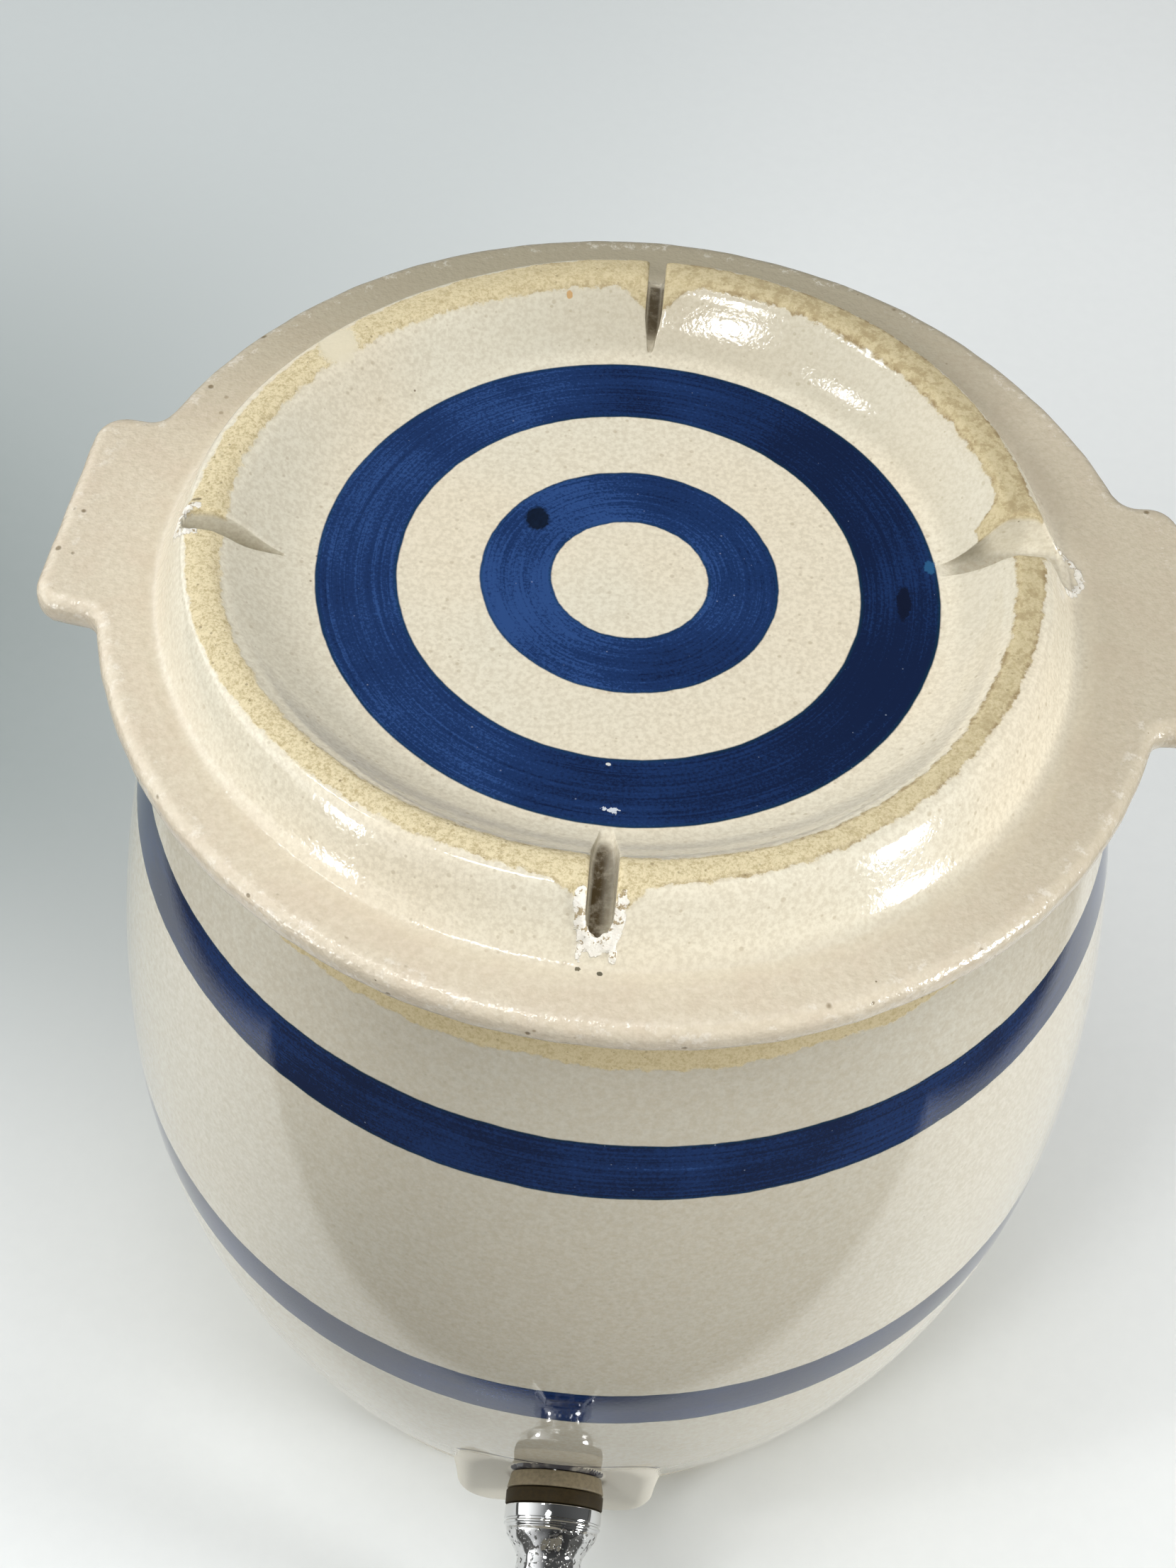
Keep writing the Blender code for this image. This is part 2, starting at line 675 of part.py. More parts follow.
def build():
    clear_scene()
    materials = {
        "stoneware": make_material("stoneware", (0.66, 0.62, 0.53), 0.25),
        "chrome": make_material("chrome", (0.62, 0.62, 0.62), 0.08, 1.0),
        "steel": make_material("steel", (0.50, 0.50, 0.49), 0.30, 1.0),
        "brass": make_material("brass", (0.60, 0.46, 0.20), 0.30, 1.0),
        "olive_rubber": make_material("olive_rubber", (0.20, 0.17, 0.10), 0.55),
        "brown_fibre": make_material("brown_fibre", (0.07, 0.055, 0.03), 0.60),
        "black_rubber": make_material("black_rubber", (0.02, 0.02, 0.02), 0.60),
        "white_silicone": make_material("white_silicone", (0.70, 0.70, 0.67), 0.45),
        "black_plastic": make_material("black_plastic", (0.015, 0.015, 0.016), 0.35),
    }
    seat_radius = outer_radius(tap_height) + seat_proud
    tap_frame = add_frame("tap_frame", None, (0, -seat_radius, tap_height), (tap_lean, 0, 0))
    boss_frame = add_frame("boss_frame", tap_frame, (0, 0, boss_top), (boss_lean - tap_lean, 0, 0))
    valve_frame = add_frame("valve_frame", tap_frame, (0, -barrel_reach, 0))
    bpy.context.view_layer.update()
    make_crock(materials["stoneware"], tap_frame, boss_frame)
    make_lid(materials["stoneware"])
    make_washers(materials, tap_frame)
    make_lock_nut(materials["brass"], tap_frame)
    make_tap_body(materials["chrome"], tap_frame)
    make_bonnet(materials, valve_frame)
    make_valve_seals(materials, valve_frame)
    make_seat_cup(materials["white_silicone"], valve_frame)
    make_stem(materials["steel"], valve_frame)
    make_spring(materials["steel"], valve_frame)
    make_lever(materials["black_plastic"], valve_frame)
    make_pin(materials["steel"], valve_frame)


build()
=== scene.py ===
# Stoneware water cooler: a banded barrel crock, an eared lid and a lever tap, on a pale floor.
import math

import bpy
import numpy as np
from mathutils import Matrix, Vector


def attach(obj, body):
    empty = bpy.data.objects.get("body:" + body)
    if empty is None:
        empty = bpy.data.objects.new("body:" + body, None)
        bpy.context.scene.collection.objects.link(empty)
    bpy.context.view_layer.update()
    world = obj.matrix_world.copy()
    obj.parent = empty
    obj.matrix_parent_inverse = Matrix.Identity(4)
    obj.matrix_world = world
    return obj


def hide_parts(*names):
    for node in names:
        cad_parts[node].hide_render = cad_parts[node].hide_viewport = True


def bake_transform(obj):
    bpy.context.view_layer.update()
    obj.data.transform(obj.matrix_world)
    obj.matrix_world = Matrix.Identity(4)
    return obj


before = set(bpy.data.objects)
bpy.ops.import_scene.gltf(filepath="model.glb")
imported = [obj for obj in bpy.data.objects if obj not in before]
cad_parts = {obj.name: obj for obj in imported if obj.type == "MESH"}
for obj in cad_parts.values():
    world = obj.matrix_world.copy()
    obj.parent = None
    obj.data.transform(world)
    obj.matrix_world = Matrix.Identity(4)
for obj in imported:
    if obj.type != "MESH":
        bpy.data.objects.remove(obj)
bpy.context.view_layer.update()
print("frame loaded with", len(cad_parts), "nodes")


# A grid of points, rows by columns, becomes quads, and its columns close into a ring. A row whose
# points coincide is one pole with a fan of triangles. wrapRows joins the last row to the first.
# The faces are turned outwards by the sign of the volume that they enclose.
def gridPiece(name, points, wrapRows=False, attributes=None):
    rows, columns = points.shape[:2]
    isPole = np.ptp(points, axis=1).max(axis=1) < 1e-7
    keep = np.ones((rows, columns), bool)
    keep[isPole, 1:] = False
    starts = np.concatenate(([0], np.cumsum(keep.sum(axis=1))[:-1]))
    index = starts[:, None] + np.where(isPole[:, None], 0, np.arange(columns))
    lower, upper = (index, np.roll(index, -1, axis=0)) if wrapRows else (index[:-1], index[1:])
    quads = np.stack((lower, np.roll(lower, -1, 1), np.roll(upper, -1, 1), upper), -1).reshape(-1, 4)
    lowPole = quads[:, 0] == quads[:, 1]
    highPole = quads[:, 2] == quads[:, 3]
    triangles = np.concatenate((quads[lowPole][:, [0, 2, 3]], quads[highPole][:, [0, 1, 2]]))
    quads = quads[~(lowPole | highPole)]
    vertices = points[keep]
    fans = np.concatenate((quads[:, [0, 1, 2]], quads[:, [0, 2, 3]], triangles))
    corners = vertices[fans]
    volume = np.einsum("ij,ij->i", corners[:, 0], np.cross(corners[:, 1], corners[:, 2])).sum()
    if volume < 0:
        quads, triangles = quads[:, ::-1], triangles[:, ::-1]
    mesh = bpy.data.meshes.new(name)
    mesh.from_pydata(vertices.tolist(), [], quads.tolist() + triangles.tolist())
    for key, values in (attributes or {}).items():
        layer = mesh.attributes.new(key, "FLOAT", "POINT")
        layer.data.foreach_set("value", np.broadcast_to(values, keep.shape)[keep].astype(np.float32))
    mesh.shade_smooth()
    item = bpy.data.objects.new(name, mesh)
    bpy.context.scene.collection.objects.link(item)
    return item


# A surface of revolution: each profile point (radius, height) runs round the axis.
def turnedPoints(profile, turn):
    radius, height = profile[:, 0, None], profile[:, 1, None]
    return np.stack((radius * np.cos(turn), radius * np.sin(turn), height + 0 * turn), -1)


# Equal steps round a whole turn, without its end.
def evenTurn(steps):
    return np.arange(steps) * 2 * np.pi / steps


# Corners (radius, height, fillet) of an outline: each one becomes an arc that touches both its sides.
def filleted(corners, closed=False, arcSteps=6):
    corners = np.array(corners, float)
    count = len(corners)
    parts = []
    for i in range(count):
        point, fillet = corners[i, :2], corners[i, 2]
        if fillet <= 0 or (not closed and i in (0, count - 1)):
            parts.append(point[None])
            continue
        back, ahead = corners[i - 1, :2] - point, corners[(i + 1) % count, :2] - point
        back, ahead = back / np.linalg.norm(back), ahead / np.linalg.norm(ahead)
        half = np.arccos(np.clip(back @ ahead, -1, 1)) / 2
        middle = (back + ahead) / np.linalg.norm(back + ahead)
        centre = point + middle * fillet / np.sin(half)
        ends = np.array((back, ahead)) * fillet / np.tan(half) + point - centre
        angles = np.arctan2(ends[:, 1], ends[:, 0])
        sweep = (angles[1] - angles[0] + np.pi) % (2 * np.pi) - np.pi
        steps = angles[0] + sweep * np.linspace(0, 1, arcSteps + 1)
        parts.append(centre + fillet * np.stack((np.cos(steps), np.sin(steps)), -1))
    return np.concatenate(parts)


# A smooth rise from 0 to 1 as the value passes from low to high.
def rise(value, low, high):
    share = np.clip((value - low) / (high - low), 0, 1)
    return share * share * (3 - 2 * share)


# The smaller of two values, with the crease between them rounded over the width k.
def softMin(first, second, k):
    share = np.clip(0.5 + 0.5 * (second - first) / k, 0, 1)
    return second * (1 - share) + first * share - k * share * (1 - share)


# A finished piece: its material, the body that it rides on and the nodes it stands for.
def finishPiece(item, body, material, nodes=()):
    item.data.materials.append(material)
    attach(item, body)
    if nodes:
        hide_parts(*nodes)


# The node tree that the functions below add to. newGroup, newMaterial and makeWorld each open one.
graph = {}


def join(output, socket):
    graph["tree"].links.new(output, socket)


# A node with its inputs by name or number: an output is linked, anything else is set as the value.
def addNode(kind, inputs=None, **settings):
    node = graph["tree"].nodes.new(kind)
    for key, value in settings.items():
        setattr(node, key, value)
    for key, value in (inputs or {}).items():
        if isinstance(value, bpy.types.NodeSocket):
            join(value, node.inputs[key])
        else:
            node.inputs[key].default_value = value
    return node


def calc(operation, *values):
    return addNode("ShaderNodeMath", dict(enumerate(values)), operation=operation).outputs[0]


def plus(first, second):
    return calc("ADD", first, second)


def minus(first, second):
    return calc("SUBTRACT", first, second)


def times(first, second):
    return calc("MULTIPLY", first, second)


# A smooth way from start to end as the value passes from low to high. Outside them it stays level.
def ramp(value, low, high, start=0.0, end=1.0):
    inputs = {"Value": value, "From Min": low, "From Max": high, "To Min": start, "To Max": end}
    return addNode("ShaderNodeMapRange", inputs, interpolation_type="SMOOTHSTEP").outputs["Result"]


# The first colour where the share is 0, the second where it is 1.
def mixColour(share, first, second):
    return addNode("ShaderNodeMix", {0: share, 6: first, 7: second}, data_type="RGBA").outputs[2]


def mixValue(share, first, second):
    return addNode("ShaderNodeMix", {0: share, 2: first, 3: second}, data_type="FLOAT").outputs[0]


def noise(vector, scale, detail=2.0, roughness=0.5):
    inputs = {"Vector": vector, "Scale": scale, "Detail": detail, "Roughness": roughness}
    return addNode("ShaderNodeTexNoise", inputs).outputs["Fac"]


# Noise about zero, as far to either side as half the reach at most.
def waver(vector, scale, detail, roughness, reach):
    return times(minus(noise(vector, scale, detail, roughness), 0.5), reach)


# A vector math node. Its output Vector is a vector and its output Value a number.
def vectorMath(operation, output, *values):
    return addNode("ShaderNodeVectorMath", dict(enumerate(values)), operation=operation).outputs[output]


def objectPlace():
    return addNode("ShaderNodeTexCoord").outputs["Object"]


def splitParts(vector):
    return addNode("ShaderNodeSeparateXYZ", {"Vector": vector}).outputs


# A node group. An input is a number, or a vector where its start is a triple or nothing. An output is a
# number, but Color is a colour.
def newGroup(name, inputs, outputs):
    tree = graph["tree"] = bpy.data.node_groups.new(name, "ShaderNodeTree")
    for label, value in inputs.items():
        kind = "NodeSocketFloat" if isinstance(value, float) else "NodeSocketVector"
        socket = tree.interface.new_socket(label, in_out="INPUT", socket_type=kind)
        if value is not None:
            socket.default_value = value
    for label in outputs:
        kind = "NodeSocketColor" if label == "Color" else "NodeSocketFloat"
        tree.interface.new_socket(label, in_out="OUTPUT", socket_type=kind)
    return tree.nodes.new("NodeGroupInput").outputs, tree.nodes.new("NodeGroupOutput").inputs


# The outputs of a node group that is used with these inputs.
def grouped(group, **inputs):
    return addNode("ShaderNodeGroup", inputs, node_tree=group).outputs


def newMaterial(name, values):
    material = bpy.data.materials.new(name)
    material.use_nodes = True
    graph["tree"] = material.node_tree
    shader = material.node_tree.nodes["Principled BSDF"]
    for key, value in values.items():
        shader.inputs[key].default_value = value
    return material, shader


def addBump(shader, height, distance):
    bump = addNode("ShaderNodeBump", {"Height": height, "Strength": 1.0, "Distance": distance})
    join(bump.outputs["Normal"], shader.inputs["Normal"])


# Specks: a cell of the pattern holds a round spot if its random number is below Share.
def makeSpecksGroup():
    inputs = {"Vector": None, "Scale": 300.0, "Share": 0.2, "Size": 0.12}
    given, out = newGroup("scattered specks", inputs, ["Mask"])
    cells = addNode("ShaderNodeTexVoronoi", {"Vector": given["Vector"], "Scale": given["Scale"]})
    chance = addNode("ShaderNodeSeparateColor", {"Color": cells.outputs["Color"]})
    chosen = calc("LESS_THAN", chance.outputs["Red"], given["Share"])
    reach = times(given["Size"], plus(0.35, chance.outputs["Green"]))
    nearness = minus(1.0, calc("DIVIDE", cells.outputs["Distance"], reach))
    spot = ramp(nearness, 0.0, 0.55)
    join(times(chosen, spot), out["Mask"])
    return graph["tree"]


# Orange peel: a fine noise with a finer one on it.
def makePeelGroup():
    given, out = newGroup("orange peel", {"Vector": None, "Scale": 900.0}, ["Height"])
    coarse = noise(given["Vector"], given["Scale"], 1.0)
    fine = noise(given["Vector"], times(given["Scale"], 2.7), 1.0)
    join(plus(coarse, times(fine, 0.35)), out["Height"])
    return graph["tree"]


clayLook = {"pale": (0.69, 0.600, 0.390, 1), "deep": (0.44, 0.355, 0.190, 1), "pit": (0.20, 0.15, 0.07, 1),
            "stain": (0.31, 0.235, 0.115, 1)}


# Bare clay: two tans mixed by coarse and fine grain, brown stains, and small dark pits.
def makeClayGroup(specks):
    given, out = newGroup("bare clay", {"Vector": None}, ["Color", "Height"])
    vector = given["Vector"]
    grain = noise(vector, 1500.0, 4.0, 0.72)
    ridges = noise(vector, 560.0, 2.0, 0.6)
    tone = plus(times(grain, 0.66), times(ridges, 0.34))
    colour = mixColour(ramp(tone, 0.36, 0.58), clayLook["deep"], clayLook["pale"])
    stains = ramp(noise(vector, 330.0, 4.0, 0.7), 0.58, 0.72, 0.0, 0.45)
    colour = mixColour(stains, colour, clayLook["stain"])
    pits = grouped(specks, Vector=vector, Scale=700.0, Share=0.20, Size=0.26)["Mask"]
    colour = mixColour(times(pits, 0.65), colour, clayLook["pit"])
    join(colour, out["Color"])
    join(minus(times(tone, 2.0), times(pits, 0.6)), out["Height"])
    return graph["tree"]


glazeLook = {"warm": (0.735, 0.667, 0.524, 1), "cool": (0.71, 0.67, 0.545, 1),
             "speck": (0.16, 0.12, 0.07, 1), "faint": (0.42, 0.35, 0.24, 1)}


# Cream glaze: warm and cool creams in wide patches, a fine mottle, and iron specks of two sizes.
def makeGlazeGroup(specks):
    given, out = newGroup("cream glaze", {"Vector": None}, ["Color"])
    vector = given["Vector"]
    patches = ramp(noise(vector, 14.0, 2.0), 0.35, 0.65)
    colour = mixColour(patches, glazeLook["warm"], glazeLook["cool"])
    mottle = ramp(noise(vector, 820.0, 3.0, 0.65), 0.34, 0.68)
    colour = mixColour(times(mottle, 0.36), colour, glazeLook["faint"])
    faint = grouped(specks, Vector=vector, Scale=420.0, Share=0.34, Size=0.26)["Mask"]
    colour = mixColour(times(faint, 0.50), colour, glazeLook["faint"])
    dark = grouped(specks, Vector=vector, Scale=120.0, Share=0.10, Size=0.05)["Mask"]
    colour = mixColour(times(dark, 0.85), colour, glazeLook["speck"])
    join(colour, out["Color"])
    return graph["tree"]


cobaltLook = {"deep": (0.0046, 0.0125, 0.046, 1), "middle": (0.0092, 0.0290, 0.104, 1),
              "light": (0.0230, 0.0640, 0.200, 1), "edge": (0.006, 0.036, 0.055, 1),
              "chip": (0.34, 0.40, 0.52, 1)}


# Cobalt: fine streaks that run with the brush, because the noise changes slowly round the axis and fast
# across it, on wide soft clouds. Along is the unit vector round the axis with the distance across as its
# third part. The paint pools deeper where Pool is high.
def makeCobaltGroup(specks):
    inputs = {"Vector": None, "Along": None, "Across": 0.5, "Pool": 0.0}
    given, out = newGroup("brushed cobalt", inputs, ["Color"])
    streaks = noise(given["Along"], 1.0, 2.5, 0.55)
    clouds = noise(given["Vector"], 30.0, 2.0)
    fine = noise(given["Vector"], 1300.0, 2.0, 0.7)
    tone = plus(times(streaks, 0.31), times(clouds, 0.36))
    tone = plus(tone, times(fine, 0.33))
    tone = minus(tone, times(given["Pool"], 0.09))
    colour = mixColour(ramp(tone, 0.38, 0.52), cobaltLook["deep"], cobaltLook["middle"])
    colour = mixColour(ramp(tone, 0.53, 0.64), colour, cobaltLook["light"])
    centred = calc("ABSOLUTE", minus(given["Across"], 0.5))
    colour = mixColour(ramp(centred, 0.44, 0.50, 0.0, 0.55), colour, cobaltLook["edge"])
    chips = grouped(specks, Vector=given["Vector"], Scale=520.0, Share=0.10, Size=0.12)["Mask"]
    colour = mixColour(times(chips, 0.40), colour, cobaltLook["chip"])
    join(colour, out["Color"])
    return graph["tree"]


# A painted band: 1 where the coordinate lies between Low and High, with edges that wander a little.
def makeBandGroup():
    inputs = {"Along": None, "Coordinate": 0.0, "Low": 0.0, "High": 1.0, "Wander": 0.0008}
    given, out = newGroup("painted band", inputs, ["Mask", "Across"])
    place = plus(given["Coordinate"], waver(given["Along"], 1.0, 3.0, 0.6, given["Wander"]))
    softness = 0.00022
    inside = ramp(minus(place, given["Low"]), -softness, softness)
    beyond = ramp(minus(place, given["High"]), -softness, softness)
    join(times(inside, minus(1.0, beyond)), out["Mask"])
    width = minus(given["High"], given["Low"])
    join(calc("DIVIDE", minus(place, given["Low"]), width), out["Across"])
    return graph["tree"]


# One blemish: 1 inside a soft-edged ellipsoid round Centre with half sizes Size, made ragged by noise.
def makeBlemishGroup():
    inputs = {"Vector": None, "Centre": (0, 0, 0), "Size": (0.002, 0.002, 0.002), "Ragged": 0.3}
    given, out = newGroup("glaze blemish", inputs, ["Mask"])
    away = vectorMath("SUBTRACT", "Vector", given["Vector"], given["Centre"])
    share = vectorMath("DIVIDE", "Vector", away, given["Size"])
    ragged = waver(given["Vector"], 700.0, 3.0, 0.7, given["Ragged"])
    length = plus(vectorMath("LENGTH", "Value", share), ragged)
    join(ramp(length, 1.0, 0.72), out["Mask"])
    return graph["tree"]


specksGroup = makeSpecksGroup()
blemishGroup = makeBlemishGroup()
peelGroup = makePeelGroup()
clayGroup = makeClayGroup(specksGroup)
glazeGroup = makeGlazeGroup(specksGroup)
cobaltGroup = makeCobaltGroup(specksGroup)
bandGroup = makeBandGroup()


# Coordinates round an axis: the unit vector of the turn, the distance from the axis, and the height.
def axisCoordinates(centreX):
    inputs = {"Vector": objectPlace(), "Location": (-centreX, 0, 0)}
    moved = addNode("ShaderNodeMapping", inputs).outputs["Vector"]
    parts = splitParts(moved)
    flat = addNode("ShaderNodeCombineXYZ", {"X": parts["X"], "Y": parts["Y"]}).outputs[0]
    radius = vectorMath("LENGTH", "Value", flat)
    unit = splitParts(vectorMath("NORMALIZE", "Vector", flat))
    return moved, radius, unit, parts["Z"]


# The unit vector stretched by turns, with a distance stretched by fineness as its third part.
def brushVector(unit, distance, turns, fineness):
    inputs = {"X": times(unit["X"], turns), "Y": times(unit["Y"], turns),
              "Z": times(distance, fineness)}
    return addNode("ShaderNodeCombineXYZ", inputs).outputs[0]


# Cobalt bands over a colour, each between two distances and with its own pool of deeper paint. The brush
# gives the turns of the edges' wander, its reach, and the turns and fineness of the streaks. The mask of
# all bands comes back with the colour.
def paintBands(colour, place, unit, distance, bands, inside, brush):
    edgeTurns, wander, streakTurns, fineness = brush
    edges = brushVector(unit, distance, edgeTurns, 20.0)
    bandMask = 0.0
    for (low, high), pool in bands:
        band = grouped(bandGroup, Along=edges, Coordinate=distance, Low=low, High=high, Wander=wander)
        streaks = brushVector(unit, distance, streakTurns, fineness)
        paint = grouped(cobaltGroup, Vector=place, Along=streaks, Across=band["Across"], Pool=pool)
        mask = times(band["Mask"], inside)
        colour = mixColour(mask, colour, paint["Color"])
        bandMask = calc("MAXIMUM", bandMask, mask)
    return colour, bandMask


# A number that the mesh carries at its points.
def attributeValue(name):
    return addNode("ShaderNodeAttribute", attribute_name=name).outputs["Fac"]


crock = {
    "height": 0.2762, "bellyRadius": 0.1339, "bellyHeight": 0.1346, "rimRadius": 0.1102, "baseRadius": 0.1003,
    "wall": 0.0090, "floor": 0.0120, "footRounding": 0.0110, "rimRounding": 0.0035, "floorRounding": 0.0100,
    "wallRows": ((0.0110, 0.0800, 92), (0.0825, 0.2727, 70)), "floorRows": (0.060, 0.025, 0),
    "footOutline": ((0, 0.0014, 0), (0.0740, 0.0014, 0.0010), (0.0765, 0, 0.0012), (0.0925, 0, 0)),
    "bands": ((0.1099, 0.1285), (0.2158, 0.2337)), "bandPool": 0.7, "brush": (9.0, 0.0012, 1.6, 1500.0),
    "bareRim": 0.2557, "bareRise": 0.0040, "bareInside": 0.2690, "roughness": 0.030, "peel": 0.000010,
    "wobble": 0.00012, "tint": (0.575, 0.555, 0.475, 1), "frontShade": (0.435, 0.422, 0.360, 1),
}
tapSeat = {"height": 0.0504, "proud": 0.00095, "lean": math.radians(16), "spot": 0.0134, "raised": 0.0127,
           "innerSpot": 0.0168, "thickness": 0.0094}
pad = {"halfWidth": 0.0285, "halfHeight": 0.0225, "corner": 0.0120, "fillet": 0.0050, "top": 0.0130,
       "lean": math.radians(6), "depth": 0.0024, "steepness": 3.0, "foot": 0.0010,
       "reach": 0.012, "noPad": -0.02}


# Two parabolas that meet at the belly.
def outerRadius(height):
    up = (height - crock["bellyHeight"]) / (crock["height"] - crock["bellyHeight"])
    down = (crock["bellyHeight"] - height) / crock["bellyHeight"]
    high = crock["bellyRadius"] - (crock["bellyRadius"] - crock["rimRadius"]) * up ** 2
    low = crock["bellyRadius"] - (crock["bellyRadius"] - crock["baseRadius"]) * down ** 2
    return np.where(height > crock["bellyHeight"], high, low)


seatDistance = float(outerRadius(np.array(tapSeat["height"]))) + tapSeat["proud"]
seatOrigin = np.array((0, -seatDistance, tapSeat["height"]))
leanSin, leanCos = math.sin(tapSeat["lean"]), math.cos(tapSeat["lean"])
padInward = np.array((0, math.cos(pad["lean"]), math.sin(pad["lean"])))
padOrigin = seatOrigin + pad["top"] * np.array((0, -leanSin, leanCos)) + pad["depth"] * padInward


# Points in a frame at the origin that is turned about X by the lean.
def toLocal(points, origin, lean):
    moved = points - origin
    y = moved[..., 1] * math.cos(lean) + moved[..., 2] * math.sin(lean)
    z = moved[..., 2] * math.cos(lean) - moved[..., 1] * math.sin(lean)
    return np.stack((moved[..., 0], y, z), -1)


# The way back: points are turned by the lean and then moved to the origin.
def toWorld(points, origin, lean):
    y = points[..., 1] * math.cos(lean) - points[..., 2] * math.sin(lean)
    z = points[..., 1] * math.sin(lean) + points[..., 2] * math.cos(lean)
    return np.stack((points[..., 0], y, z), -1) + origin


# Distance inside a rounded rectangle's edge, negative outside it.
def insetOf(x, z):
    qx = np.abs(x) - pad["halfWidth"] + pad["corner"]
    qz = np.abs(z + pad["halfHeight"]) - pad["halfHeight"] + pad["corner"]
    outside = np.hypot(np.maximum(qx, 0), np.maximum(qz, 0)) + np.minimum(np.maximum(qx, qz), 0)
    return pad["corner"] - outside


# The crock is one outline turned round Z: foot, wall, rim, inner wall and floor. Near the tap its outer
# wall is pulled out to a flat-faced pad with rounded edges, and both walls are cut flat for the washers.
def crockPoints():
    wallRows = np.concatenate([np.linspace(*part) for part in crock["wallRows"]])
    outer = np.stack((outerRadius(wallRows), wallRows), -1)
    foot = filleted(crock["footOutline"])
    swing = np.linspace(-90, 0, 9)[:-1] * np.pi / 180
    footArc = np.stack((outer[0, 0] - crock["footRounding"] * (1 - np.cos(swing)),
                        crock["footRounding"] * (1 + np.sin(swing))), -1)
    foot = foot[foot[:, 0] < footArc[0, 0]]
    rimTop = wallRows[-1]
    rimOut = filleted([(outer[-1, 0], rimTop, 0), (outer[-1, 0], crock["height"], crock["rimRounding"]),
                       (outer[-1, 0] - crock["wall"], crock["height"], crock["rimRounding"]),
                       (outer[-1, 0] - crock["wall"], rimTop, 0)], arcSteps=8)[1:-1]
    floorStart = crock["floor"] + crock["floorRounding"]
    innerRows = np.concatenate((np.linspace(rimTop, 0.0800, 34)[:-1], np.linspace(0.0800, floorStart, 46)))
    inner = np.stack((outerRadius(innerRows) - crock["wall"], innerRows), -1)
    swing = np.linspace(0, -90, 8)[1:] * np.pi / 180
    corner = inner[-1] - (crock["floorRounding"], 0)
    floorArc = corner + crock["floorRounding"] * np.stack((np.cos(swing), np.sin(swing)), -1)
    floor = np.array([(radius, crock["floor"]) for radius in crock["floorRows"]])
    profile = np.concatenate((foot, footArc, outer, rimOut, inner, floorArc, floor))
    firstWall = len(foot) + len(footArc)
    outerSlice = slice(firstWall - 4, firstWall + len(outer))
    innerSlice = slice(firstWall + len(outer) + len(rimOut), len(profile) - len(floor))
    near = np.radians(np.arange(-110, -70.01, 0.36))
    turn = np.concatenate((near, np.linspace(near[-1], near[0] + 2 * np.pi, 152)[1:-1]))
    points = turnedPoints(profile, turn)

    wall = points[outerSlice]
    wall[..., :2] *= (1 - crock["wobble"] / crock["bellyRadius"] * (1 + np.sin(turn)))[:, None]
    local = toLocal(wall, padOrigin, pad["lean"])
    padInset = np.where(wall[..., 1] < 0, insetOf(local[..., 0], local[..., 2]), -1)
    padHeight = local[..., 2]
    fillet = pad["fillet"]
    within = np.clip(padInset, 0, fillet)
    rounded = fillet - np.sqrt(fillet ** 2 - (fillet - within) ** 2)
    face = rounded + np.maximum(-padInset, 0) * pad["steepness"]
    nearPad = padInset > -pad["reach"]
    ahead = np.where(nearPad, local[..., 1] - face, pad["noPad"])
    local[..., 1] = np.where(nearPad, softMin(local[..., 1], face, pad["foot"]), local[..., 1])
    wall = toWorld(local, padOrigin, pad["lean"])

    local = toLocal(wall, seatOrigin, tapSeat["lean"])
    seatReach = np.where(wall[..., 1] < 0, np.hypot(local[..., 0], local[..., 2]), 1)
    seatHeight = local[..., 2]
    cut = 1 - rise(seatReach, tapSeat["spot"] - 0.0002, tapSeat["spot"] + 0.0005)
    raised = 1 - rise(seatReach, tapSeat["raised"] - 0.0001, tapSeat["raised"] + 0.0007)
    local[..., 1] = np.maximum(local[..., 1], 0) * cut + local[..., 1] * (1 - cut)
    local[..., 1] *= 1 - raised
    points[outerSlice] = toWorld(local, seatOrigin, tapSeat["lean"])

    wall = points[innerSlice]
    local = toLocal(wall, seatOrigin, tapSeat["lean"])
    reach = np.where(wall[..., 1] < 0, np.hypot(local[..., 0], local[..., 2]), 1)
    cut = 1 - rise(reach, tapSeat["innerSpot"] - 0.0002, tapSeat["innerSpot"] + 0.0006)
    flat = np.minimum(local[..., 1], tapSeat["thickness"])
    local[..., 1] = flat * cut + local[..., 1] * (1 - cut)
    points[innerSlice] = toWorld(local, seatOrigin, tapSeat["lean"])

    padAhead = np.full(points.shape[:2], pad["noPad"])
    padAhead[outerSlice] = ahead
    # Painted shade: a dark line in the crease along the pad's top and round the top of the washers.
    seamShade = np.zeros(points.shape[:2])
    washerEdge = rise(seatReach, tapSeat["spot"] - 0.0002, tapSeat["spot"] + 0.0008)
    washerShade = (1 - washerEdge) * rise(seatHeight, 0.0, 0.004)
    padCreaseShade = np.exp(-((padInset + 0.0004) / 0.0011) ** 2) * rise(padHeight, -0.012, -0.006)
    seamShade[outerSlice] = np.maximum(padCreaseShade, washerShade)
    inside = np.zeros(points.shape[:2])
    inside[innerSlice.start - 8:] = 1
    return points, {"padAhead": np.clip(padAhead, -0.004, 0.004), "inside": inside, "seamShade": seamShade}


padLook = {"face": (0.56, 0.535, 0.46, 1), "seamShade": (0.012, 0.013, 0.026, 1)}
